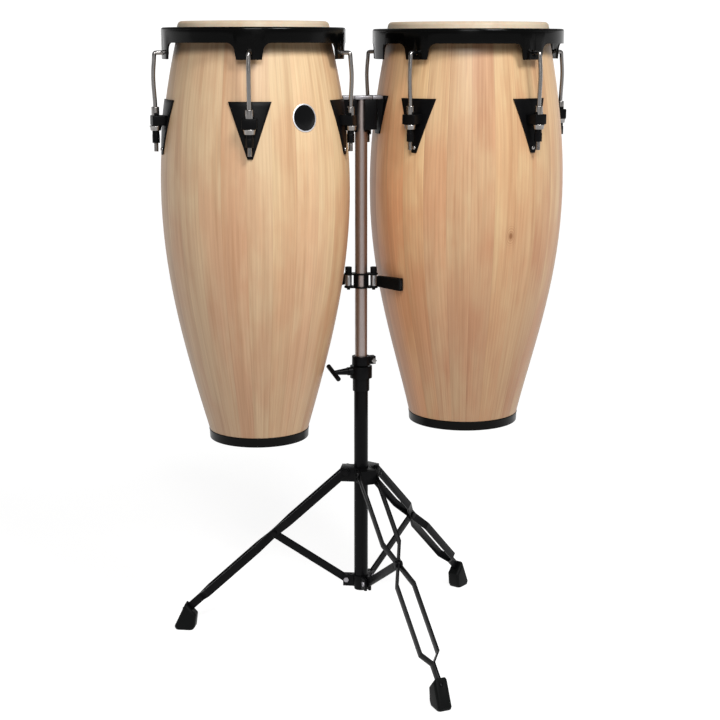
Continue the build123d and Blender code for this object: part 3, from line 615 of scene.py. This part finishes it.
def make_hide(name, axis, radius):
    """Rawhide: cream, mottled, with hair roots, and darker where it bends over the edge."""
    material, tree, shader, place_at = new_material(
        name, Subsurface_Weight=0.12, Subsurface_Scale=0.004, Specular_IOR_Level=0.35,
    )
    local = tree.vector("SUBTRACT", place_at, axis)
    split = tree.add("SeparateXYZ", {0: local}).outputs
    mottle = tree.noise(local, 16.0, 5.0, 0.62, 0.6)
    vein = tree.noise(local, 70.0, 4.0, 0.6)
    colour = tree.blend(tree.spread(mottle, 0.35, 0.7), rgb(196, 186, 166), rgb(182, 168, 146))
    colour = tree.blend(tree.sum("MULTIPLY", tree.spread(vein, 0.5, 0.75), 0.25), colour, rgb(166, 146, 118))
    edge = tree.spread(tree.reach(split[0], split[1]), radius - 4 * MM, radius + 4 * MM)
    colour = tree.blend(tree.sum("MULTIPLY", edge, 0.30), colour, rgb(166, 132, 100))
    tree.feed(shader, "Base Color", colour)
    tree.feed(shader, "Roughness", tree.spread(mottle, 0.3, 0.7, 0.46, 0.6))
    hair = tree.add("TexVoronoi", {"Vector": local, "Scale": 520.0}).outputs["Distance"]
    rough = tree.sum("ADD", tree.sum("MULTIPLY", hair, 0.35), tree.sum("MULTIPLY", vein, 0.8))
    relief = tree.add("Bump", {"Strength": 0.25, "Distance": 0.3 * MM, "Height": rough})
    tree.feed(shader, "Normal", relief)
    return material


# Blacks: colour, worn colour, pebbles in a metre, roughness, handling marks, relief and gloss.
black_coat = make_coat("black_powder_coat", rgb(7, 7, 8), rgb(26, 26, 27), 1300.0, 0.34, 0.35, 0.2, 0.07)
black_gloss = make_coat("black_rim_enamel", rgb(3, 3, 3), rgb(11, 11, 11), 900.0, 0.16, 0.22, 0.05, 0.10)
black_moulding = make_coat("black_moulding", rgb(9, 9, 10), rgb(28, 28, 29), 1700.0, 0.45, 0.4, 0.25, 0.08)
black_rubber = make_coat("black_rubber", rgb(5, 6, 6), rgb(22, 22, 23), 800.0, 0.55, 0.55, 0.35, 0.08)
foot_rubber = make_coat("foot_ring_rubber", rgb(3, 3, 2), rgb(14, 13, 11), 600.0, 0.3, 0.4, 0.25, 0.08)
badge_enamel = make_coat("badge_enamel", rgb(5, 5, 6), rgb(16, 16, 18), 200.0, 0.16, 0.2, 0.05, 0.25)
# Plated metals: colour, tarnish, roughness and depth of the draw lines.
rod_plate = make_metal("rod_plating", rgb(150, 147, 145), rgb(104, 98, 94), 0.18, 0.4)
post_plate = make_metal("post_plating", rgb(166, 154, 150), rgb(130, 119, 114), 0.30, 0.2)
badge_trim = make_metal("badge_trim_plating", rgb(226, 226, 230), rgb(190, 190, 194), 0.42, 0.2)
cap_plate = make_metal("cap_plating", rgb(150, 148, 152), rgb(96, 94, 94), 0.42, 0.6)
zinc_plate = make_metal("zinc_plating", rgb(160, 159, 160), rgb(116, 114, 112), 0.32, 0.6)


# =====================================================================================
# Drums
# =====================================================================================
class Drum:
    """Where one drum's pieces go, worked out from the frame."""

    def __init__(self, side):
        self.side = side
        self.body = f"{side}_drum"
        low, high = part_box(f"{side}_shell")
        self.axis = Vector(((low.x + high.x) / 2, (low.y + high.y) / 2, 0))
        self.low, self.top = low.z, high.z
        self.head_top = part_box(f"{side}_head")[1].z
        rim_low, rim_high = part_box(f"{side}_rim")
        self.rim_r = (rim_high.x - rim_low.x) / 2
        self.rim_top = rim_high.z
        self.rim_low = self.rim_top - RIM_H
        heights = [self.low + h * MM for h in SHELL_HEIGHTS]
        self.curve = np.polynomial.Polynomial.fit(heights, [r * MM for r in SHELL_RADII[side]], 5)
        self.foot_r, self.top_r = SHELL_RADII[side][0] * MM, SHELL_RADII[side][-1] * MM
        self.hoop_top = self.rim_top - HOOP_DEPTH
        self.skin_r = self.radius(self.hoop_top) + SKIN
        self.hoop_r = self.radius(self.hoop_top - HOOP_H) + 0.2 * MM
        self.lugs = []
        for i in range(1, 6):
            at = Vector(joints[f"{side}_nut_{i}_turn"]["pos_m"]) - self.axis
            self.lugs.append(atan2(at.y, at.x))
            self.rod_r = hypot(at.x, at.y)

    def radius(self, z):
        """Outer radius of the staves at a height."""
        return float(self.curve(z))

    def at(self, bearing, radius=0.0, z=0.0):
        """Frame on the drum with +X pointing outwards."""
        turn = Matrix.Rotation(bearing, 4, "Z")
        return Matrix.Translation(self.axis) @ turn @ Matrix.Translation((radius, 0, z))

    def around(self, piece):
        """Copies of a piece at every lug, as one object."""
        copies = [place(copy_of(piece), self.at(bearing)) for bearing in self.lugs]
        drop(piece)
        return join(copies)

    def show(self, obj, name, material, slot, *nodes):
        """Finish a piece of this drum."""
        return show(obj, f"{self.side}_{name}", self.body, material, slot, *nodes)


# Staves are counted from a joint at the bearing "turn", in degrees. Each has its tone, its warmth and its hue, which
# runs from pink at 0 to yellow at 1. A knot stands at its place in metres, and one below the floor isn't there.
WOOD = {
    "left": {
        "seed": 3.4, "turn": -91.5,
        "pale": rgb(194, 170, 135), "warm": rgb(184, 146, 113), "streak": rgb(154, 112, 76),
        "staves": [
            (0.93, 0.20, 0.45), (0.94, 0.35, 0.70), (1.00, 0.25, 0.55), (1.03, 0.15, 0.60), (1.01, 0.40, 0.70),
            (0.97, 0.50, 0.60), (0.93, 0.40, 0.40), (0.96, 0.20, 0.30), (0.93, 0.50, 0.60), (0.97, 0.30, 0.40),
            (0.90, 0.60, 0.70), (0.95, 0.20, 0.30), (0.93, 0.40, 0.50), (0.97, 0.30, 0.60), (0.91, 0.55, 0.40),
            (0.95, 0.30, 0.70), (0.93, 0.20, 0.30), (0.96, 0.40, 0.50), (0.90, 0.50, 0.40), (0.80, 0.30, 0.25),
            (0.90, 0.30, 0.30), (0.92, 0.20, 0.30), (0.95, 0.30, 0.30), (0.94, 0.55, 0.40),
        ],
        "knot": (0.0, 0.0, -1.0),
    },
    "right": {
        "seed": 8.3, "turn": -91.0,
        "pale": rgb(195, 166, 127), "warm": rgb(184, 138, 102), "streak": rgb(152, 102, 66),
        "staves": [
            (0.84, 0.50, 0.35), (0.90, 0.10, 0.65), (0.88, 0.35, 0.60), (0.86, 0.35, 0.50), (0.93, 0.20, 0.40),
            (0.93, 0.40, 0.50), (0.94, 0.35, 0.60), (0.91, 0.50, 0.40), (0.96, 0.30, 0.60), (0.90, 0.50, 0.30),
            (0.94, 0.20, 0.60), (0.92, 0.60, 0.40), (0.96, 0.30, 0.70), (0.91, 0.50, 0.30), (0.95, 0.30, 0.50),
            (0.93, 0.40, 0.60), (0.90, 0.60, 0.40), (0.95, 0.30, 0.60), (0.93, 0.50, 0.40), (0.98, 0.80, 0.50),
            # Staves 21 to 23 carry painted light: their tones are raised to brighten the side towards the post, which
            # the lamps leave dim.
            (0.98, 1.00, 0.60), (1.20, 0.90, 0.60), (1.34, 0.60, 0.65), (1.12, 0.35, 0.65), (0.98, 0.35, 0.35),
            (0.87, 0.15, 0.30),
        ],
        "knot": (0.2487, -0.0744, 0.768),
    },
}


def make_shell(drum):
    """Barrel of staves, smooth outside, open at the foot."""
    low, top, edge = drum.low, drum.top, drum.top - SHELL_EDGE
    ring_top = drum.low + SHELL_HEIGHTS[0] * MM
    seat = drum.foot_r - 2.5 * MM
    heights = [ring_top + (edge - ring_top) * i / 28 for i in range(29)]
    outside = [(drum.radius(z), z) for z in heights]
    inside = [(drum.radius(z) - SHELL_WALL, z) for z in heights[::-4]]
    profile = outside + arc((drum.top_r - SHELL_EDGE, edge), SHELL_EDGE, 15, 90, 5)
    profile += [(drum.top_r - SHELL_WALL, top)] + inside
    profile += [(seat - SHELL_WALL, low), (seat, low), (seat, ring_top - 0.4 * MM)]
    shell = smooth(place(spun(profile, 160), Matrix.Translation(drum.axis)))
    wood = make_wood(f"{drum.side}_stave_wood", drum, WOOD[drum.side])
    return drum.show(shell, "stave_shell", wood, "shell", f"{drum.side}_shell")


def make_foot_ring(drum):
    """Rubber ring with soft corners, wider at its top."""
    low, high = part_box(f"{drum.side}_foot_ring")
    seat = drum.foot_r - 2.3 * MM
    out = (high.x - low.x) / 2
    bottom = drum.foot_r - 0.4 * MM
    z0, z1 = low.z, high.z
    soft = 1.3 * MM
    profile = [(seat, z0), *arc((bottom - soft, z0 + soft), soft, -90, -5, 5)]
    profile += [(out - 0.6 * MM, z1 - 3.2 * MM), *arc((out - soft, z1 - soft), soft, 0, 90, 5), (seat, z1)]
    ring = smooth(place(spun(profile, 128), Matrix.Translation(drum.axis)), 40)
    return drum.show(ring, "rubber_ring", foot_rubber, "ring", f"{drum.side}_foot_ring")


def make_head(drum):
    """Hide drawn over the bearing edge and tucked under its hoop."""
    top, edge_r, bend = drum.head_top, drum.top_r + SKIN, HEAD_BEND
    hoop_top, hoop_low, hoop_out = drum.hoop_top, drum.hoop_top - HOOP_H, drum.hoop_r + HOOP_W
    profile = [(0.0, top - 0.5 * MM), (edge_r * 0.5, top - 0.3 * MM), (edge_r - bend - 3 * MM, top)]
    profile += arc((edge_r - bend, top - bend), bend, 82, 6, 7)
    profile += [(drum.skin_r, hoop_top + 1 * MM), (drum.skin_r + 1 * MM, hoop_top)]
    profile += [(hoop_out - 1 * MM, hoop_top), (hoop_out, hoop_top - 1 * MM)]
    profile += [(hoop_out, hoop_low), (drum.hoop_r, hoop_low)]
    profile += [(drum.top_r + 0.4 * MM, drum.top - SHELL_EDGE), (drum.top_r - SHELL_EDGE, drum.top + 0.2 * MM)]
    profile += [(0.0, drum.top + 0.2 * MM)]
    skin = smooth(place(spun(profile, 128), Matrix.Translation(drum.axis)), 50)
    hide = make_hide(f"{drum.side}_hide", (*drum.axis.xy, 0), edge_r - bend)
    return drum.show(skin, "hide_head", hide, "head", f"{drum.side}_head")


def make_rim(drum):
    """Steel rim: the ears and walls with eased edges, and the rolled top over them."""
    rim = eased_node(f"{drum.side}_rim", 0.5 * MM)
    drum.show(rim, "steel_rim", black_gloss, "black_steel", f"{drum.side}_rim")
    out, top = drum.rim_r, drum.rim_top
    inn = drum.skin_r + RIM_CLEAR
    roll = 4 * MM
    lip = 1.2 * MM
    profile = arc((out - roll, top - roll), roll, 0, 90, 10)
    profile += arc((inn + lip, top - lip), lip, 90, 180, 4)
    profile += [(inn, top - 3 * MM), (out - roll, top - 3 * MM)]
    profile += [(out - 3 * MM, top - roll - 1 * MM), (out, top - roll - 1 * MM)]
    cover = smooth(place(spun(profile, 160), Matrix.Translation(drum.axis)), 50)
    return drum.show(cover, "rim_roll", black_gloss, "black_steel")


def make_rods(drum):
    """J-hook rods, bent over at the ear, bowed out above the lug and threaded at the foot."""
    hook_z = drum.head_top - HOOK_DROP
    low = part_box(f"{drum.side}_tension_rods")[0].z
    block_top = drum.head_top - BLOCK_TOP_DROP
    r, bow = drum.rod_r, 2.0 * MM
    inn = drum.rim_r - HOOK_IN
    path = [
        (inn, 0, hook_z), (r - 12 * MM, 0, hook_z), (r - 2 * MM, 0, hook_z), (r - 0.5 * MM, 0, hook_z - 3 * MM),
        (r, 0, hook_z - 12 * MM), (r + bow, 0, hook_z - 32 * MM), (r + bow, 0, hook_z - 50 * MM),
        (r, 0, block_top + 22 * MM), (r, 0, block_top + 8 * MM), (r, 0, block_top - 20 * MM), (r, 0, low),
    ]
    rod = wire(path, ROD_R - 0.4 * MM)
    rods = smooth(drum.around(rod), 60)
    drum.show(rods, "hook_rods", rod_plate, "rod_steel", f"{drum.side}_tension_rods")
    pitch = THREAD_PITCH
    groove = [(ROD_R - 0.9 * MM, 0.0), (ROD_R, pitch / 2), (ROD_R - 0.9 * MM, pitch)]
    thread = spun([(ROD_R - 1.5 * MM, pitch), (ROD_R - 1.5 * MM, 0.0)] + groove, 20)
    modify(
        thread, "ARRAY", count=THREAD_TURNS, use_relative_offset=False, use_constant_offset=True,
        constant_offset_displace=(0, 0, pitch),
    )
    place(thread, Matrix.Translation((r, 0, low + 0.3 * MM)))
    threads = smooth(drum.around(thread), 20)
    return drum.show(threads, "rod_threads", rod_plate, "rod_steel")


def make_lug_plates(drum):
    """Tapered steel plates laid on the staves."""
    top = drum.head_top - PLATE_TOP_DROP
    plates = []
    for bearing in drum.lugs:
        deselect()
        bpy.ops.mesh.primitive_grid_add(
            x_subdivisions=12, y_subdivisions=14, size=1, location=(0, 0, 0), rotation=(0, radians(90), 0),
        )
        plate = bpy.context.object
        settle(plate)
        pick(plate)
        bpy.ops.object.mode_set(mode="EDIT")
        bpy.ops.mesh.select_all(action="SELECT")
        bpy.ops.transform.resize(value=(1, PLATE_W, PLATE_H))
        bpy.ops.object.mode_set(mode="OBJECT")
        taper(plate, PLATE_TIP_W / PLATE_W)
        place(plate, Matrix.Translation((0, 0, top - PLATE_H / 2)))
        lay_on(plate, drum, 0.1 * MM)
        place(plate, drum.at(bearing))
        modify(plate, "SOLIDIFY", thickness=PLATE_T, offset=1.0)
        ease(plate, 0.7 * MM, 2, 40)
        plates.append(plate)
    plate = smooth(join(plates), 40)
    return drum.show(plate, "lug_plates", black_coat, "black_steel", f"{drum.side}_side_plates")


def make_lugs(drum):
    """Lug blocks with a raised crown, and the bright ferrules on them round the rods."""
    middle = drum.head_top - BLOCK_TOP_DROP - BLOCK_H / 2
    top = middle + BLOCK_H / 2
    root, reach = drum.radius(middle) + 1 * MM, drum.rod_r + BLOCK_PAST_ROD
    lug = block((reach - root, BLOCK_W, BLOCK_H), ((reach + root) / 2, 0, middle), 1.6 * MM, 4)
    crown = block((9 * MM, 15 * MM, 5 * MM), (drum.rod_r - 1 * MM, 0, top + 1.8 * MM), 1.2 * MM, 3)
    lugs = smooth(drum.around(join([lug, crown])), 40)
    drum.show(lugs, "lug_blocks", black_coat, "black_steel")
    inn, out, lip = ROD_R - 0.3 * MM, ROD_R + 2.6 * MM, 1 * MM
    profile = [(inn, 0.0), (out, 0.0), *arc((out - lip, FERRULE_H - lip), lip, 0, 90, 4), (inn, FERRULE_H)]
    ferrule = place(spun(profile, 32), Matrix.Translation((drum.rod_r, 0, top)))
    ferrules = smooth(drum.around(ferrule), 40)
    return drum.show(ferrules, "lug_ferrules", rod_plate, "rod_steel")


def taper(obj, share):
    """Narrow a standing plate towards its lower edge."""
    heights = [v.co.z for v in obj.data.vertices]
    low, high = min(heights), max(heights)
    for v in obj.data.vertices:
        v.co.y *= share + (1 - share) * (v.co.z - low) / (high - low)


def lay_on(obj, drum, gap):
    """Bring a standing piece's vertices out along +X to the staves, keeping their width and height."""
    for v in obj.data.vertices:
        v.co.x = max((drum.radius(v.co.z) + gap) ** 2 - v.co.y ** 2, 0.0) ** 0.5


def make_screws(drum):
    """Domed screw heads near the plates' tips."""
    screw_z = drum.head_top - PLATE_TOP_DROP - PLATE_H + SCREW_ABOVE_TIP
    profile = [(0.0, 0.0), (3.6 * MM, 0.0), (3.5 * MM, 0.8 * MM)]
    profile += [(2.4 * MM, 1.9 * MM), (1.0 * MM, 2.3 * MM), (0.0, 2.35 * MM)]
    head = spun(profile, 24)
    place(head, Matrix.Rotation(radians(90), 4, "Y"))
    place(head, Matrix.Translation((drum.radius(screw_z) + PLATE_T, 0, screw_z)))
    heads = smooth(drum.around(head), 50)
    return drum.show(heads, "plate_screws", rod_plate, "rod_steel")


def make_washers(drum):
    """Cup washers with a rolled lip."""
    low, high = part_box(f"{drum.side}_washers")
    h = high.z - low.z
    inn, lip = ROD_R + 0.3 * MM, CUP_LIP
    profile = [(inn, 0.0), (CUP_LOW_R - 1.2 * MM, 0.0), *arc((CUP_LOW_R - lip, lip), lip, -90, 0, 3)]
    profile += [(CUP_TOP_R - 1.1 * MM, h * 0.62), *arc((CUP_TOP_R - lip, h - lip), lip, 0, 90, 3), (inn, h)]
    washer = place(spun(profile, 40), Matrix.Translation((drum.rod_r, 0, low.z)))
    washers = smooth(drum.around(washer), 40)
    return drum.show(washers, "cup_washers", rod_plate, "rod_steel", f"{drum.side}_washers")


def make_nuts(drum):
    """Long hexagon nuts with a round collar above and a rounded foot."""
    for i, bearing in enumerate(drum.lugs, 1):
        node = f"{drum.side}_nut_{i}"
        low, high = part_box(node)
        h = high.z - low.z
        barrel = prism(6, NUT_R, h * 0.72, 0.8 * MM, (0, 0, h * 0.36), 3)
        collar = prism(32, NUT_COLLAR_R, h * 0.30, 0.7 * MM, (0, 0, h * 0.85), 2)
        foot = prism(32, NUT_FOOT_R, 1.6 * MM, 0.6 * MM, (0, 0, 0.7 * MM), 2)
        nut = join([barrel, collar, foot])
        place(nut, drum.at(bearing, drum.rod_r, low.z))
        smooth(nut, 35)
        show(nut, f"{drum.side}_tension_nut_{i}", body_of(node), black_coat, "black_steel", node)


def make_badge(drum):
    """Bare domed badge in a thin bright border, bent to the staves."""
    turn, z = radians(BADGE_TURN), BADGE_Z
    dome = spun([(0.0, 1.3 * MM), (0.6, 1.15 * MM), (0.9, 0.7 * MM), (1.0, 0.0), (0.0, 0.0)], 64)
    border = spun([(0.97, 0.0), (1.06, 0.0), (1.06, 0.8 * MM), (1.03, 1.15 * MM), (0.97, 0.9 * MM)], 64)
    for obj, name, material, slot in (
        (dome, "badge_face", badge_enamel, "black_steel"), (border, "badge_border", badge_trim, "zinc_steel"),
    ):
        place(obj, Matrix.Diagonal((BADGE_H / 2, BADGE_W / 2, 1, 1)))
        place(obj, Matrix.Rotation(radians(90), 4, "Y"))
        r0 = drum.radius(z)
        place(obj, drum.at(turn, r0, z))
        for v in obj.data.vertices:
            out = v.co - drum.axis
            side = Vector((out.x, out.y, 0))
            rise = side.dot(Vector((cos(turn), sin(turn), 0))) - r0
            v.co = drum.axis + side.normalized() * (drum.radius(v.co.z) + rise + 0.1 * MM) + Vector((0, 0, v.co.z))
        smooth(obj, 50)
        drum.show(obj, name, material, slot)


def make_lip_saddle(drum, way):
    """Plated saddle over the lip that hangs the drum on the stand, on the side of the post that "way" gives."""
    reach = (drum.axis.xy - post_axis.xy).length - drum.radius(LIP_Z) - 3 * MM
    size = (reach - TONGUE_IN, TONGUE_W + 2 * SADDLE_SKIN, LIP_T + 2 * SADDLE_SKIN)
    saddle = block(size, (way * (reach + TONGUE_IN - SADDLE_SKIN) / 2, 0, LIP_Z + LIP_T / 2), 1.0 * MM)
    place(saddle, Matrix.Translation(post_axis) @ Matrix.Rotation(radians(LINE_TURN), 4, "Z"))
    drum.show(smooth(saddle), "hanger_saddle", cap_plate, "zinc_steel")


def sink_tip(arm, depth):
    """Draw a strap's outer end back inside its rubber pad."""
    reach = {v: (v.co.xy - post_axis.xy).length for v in arm.data.vertices}
    far = max(reach.values())
    tip = [v for v in reach if reach[v] > far - STRAP_TIP]
    rest = [v for v in reach if reach[v] < far / 2]
    heading = sum((v.co for v in tip), Vector()) / len(tip) - sum((v.co for v in rest), Vector()) / len(rest)
    for v in tip:
        v.co -= Vector((heading.x, heading.y, 0)).normalized() * depth


drums = {side: Drum(side) for side in ("left", "right")}
for drum in drums.values():
    make_shell(drum)
    make_foot_ring(drum)
    make_head(drum)
    make_rim(drum)
    make_rods(drum)
    make_lug_plates(drum)
    make_lugs(drum)
    make_screws(drum)
    make_washers(drum)
    make_nuts(drum)
    piece = eased_node(f"{drum.side}_mount", 0.8 * MM)
    drum.show(piece, "hanger_mount", black_coat, "black_steel", f"{drum.side}_mount")
make_badge(drums["left"])
make_lip_saddle(drums["left"], -1)
make_lip_saddle(drums["right"], 1)

# =====================================================================================
# Stand
# =====================================================================================
# CAD pieces shown with rounded edges: the edge's width in mm, the finish and the slot.
EASED = {
    "hanger_sleeve": (0.9, black_coat, "black_steel"),
    "post_cap": (1.0, cap_plate, "black_plastic"),
    "stabiliser_clamp": (0.6, black_coat, "black_steel"),
    "arm_bolts": (0.8, black_coat, "black_steel"),
    "left_arm": (0.5, zinc_plate, "zinc_steel"),
    "right_arm": (0.5, zinc_plate, "zinc_steel"),
    "left_arm_pad": (1.2, black_rubber, "pad_rubber"),
    "right_arm_pad": (1.2, black_rubber, "pad_rubber"),
    "tube_plug": (1.0, black_moulding, "black_plastic"),
    "height_collar": (0.8, black_coat, "black_steel"),
    "bushing": (0.3, black_moulding, "black_plastic"),
    "memory_lock": (0.7, black_coat, "black_steel"),
    "memory_bolt": (0.6, rod_plate, "rod_steel"),
    "height_handle": (1.4, black_coat, "black_steel"),
    "leg_hub": (0.9, black_coat, "black_steel"),
    "hub_pins": (0.6, black_coat, "rod_steel"),
    "hub_screw": (1.0, black_moulding, "black_plastic"),
    "brace_yoke": (0.8, black_coat, "black_steel"),
    "yoke_pins": (0.5, cap_plate, "rod_steel"),
}
for leg in ("front", "right", "left"):
    EASED[f"{leg}_leg"] = (0.5, black_coat, "black_steel")
    EASED[f"{leg}_brace"] = (0.5, black_coat, "black_steel")
    EASED[f"{leg}_foot"] = (2.0, black_rubber, "pad_rubber")
for node, (width, material, slot) in EASED.items():
    piece = eased_node(node, width * MM, 3 if width > 1 else 2)
    if node in ("left_arm", "right_arm"):
        sink_tip(piece, STRAP_SUNK)
    show(piece, f"{node}_finish", body_of(node), material, slot, node)
refinish(post_plate, "post")
refinish(black_coat, "base_tube")

# =====================================================================================
# Studio
# =====================================================================================
# The camera stands off from the post and looks down by its pitch in degrees. Lens and sensor are in mm.
CAMERA_OFFSET = Vector((-1.9, -2641.5, 1095.3)) * MM
CAMERA_PITCH, LENS, SENSOR_W = 12.05, 74.57, 36.0
# The paper's glow rises from the front to the back of the floor.
SWEEP_R, SWEEP_BEND, SWEEP_H = 6.0, 1.0, 1.6
GLOW_FROM, GLOW_TO, PAPER_GLOW = -1.4, -0.6, (0.45, 0.85)
PAPER_TONE = (0.30, 0.31)
CEILING_LIGHT = 0.25
# Lamps: name, place, size in metres and power in watts, all aimed at one point.
LAMPS = (
    ("key_softbox", (1.6, -2.2, 3.4), 1.0, 124.0),
    ("fill_softbox", (0.0, -3.4, 2.7), 1.2, 82.0),
)
LAMP_AIM = Vector((0.0, 0.0, 0.8))


def make_studio():
    """Round pale sweep that glows a little, a dim ceiling and soft lamps."""
    paper, tree, shader, place_at = new_material("studio_paper", Roughness=0.9, Specular_IOR_Level=0.0)
    tint = tree.spread(tree.noise(place_at, 3.0), 0.3, 0.7, *PAPER_TONE)
    tree.feed(shader, "Base Color", tree.join(tint, tint, tint))
    split = tree.add("SeparateXYZ", {0: place_at}).outputs
    tree.feed(shader, "Emission Strength", tree.spread(split[1], GLOW_FROM, GLOW_TO, *PAPER_GLOW))
    shader.inputs["Emission Color"].default_value = (1, 1, 1, 1)
    corner = arc((SWEEP_R - SWEEP_BEND, SWEEP_BEND), SWEEP_BEND, -90, 0, 10)
    sweep = smooth(spun([(0.0, -0.0005)] + corner + [(SWEEP_R, SWEEP_H)], 96, False), 60)
    pick(sweep)
    bpy.ops.object.mode_set(mode="EDIT")
    bpy.ops.mesh.select_all(action="SELECT")
    bpy.ops.mesh.flip_normals()
    bpy.ops.object.mode_set(mode="OBJECT")
    sweep.name = "studio_sweep"
    sweep.data.materials.append(paper)
    world = bpy.data.worlds.new("studio_ceiling")
    world.use_nodes = True
    ceiling = world.node_tree.nodes["Background"].inputs
    ceiling["Color"].default_value = (1, 1, 1, 1)
    ceiling["Strength"].default_value = CEILING_LIGHT
    bpy.context.scene.world = world
    for name, at, size, power in LAMPS:
        bpy.ops.object.light_add(type="AREA", location=at)
        lamp = bpy.context.object
        lamp.name = name
        lamp.data.size = size
        lamp.data.energy = power
        lamp.rotation_euler = (LAMP_AIM - Vector(at)).to_track_quat("-Z", "Y").to_euler()


def make_camera():
    """A long lens in front of the drums, a little above them."""
    deselect()
    bpy.ops.object.camera_add(location=post_axis + CAMERA_OFFSET)
    camera = bpy.context.object
    camera.rotation_euler = (radians(90 - CAMERA_PITCH), 0, 0)
    camera.data.sensor_width = SENSOR_W
    camera.data.lens = LENS
    bpy.context.scene.camera = camera


make_studio()
make_camera()
bpy.context.scene.view_settings.view_transform = "Standard"
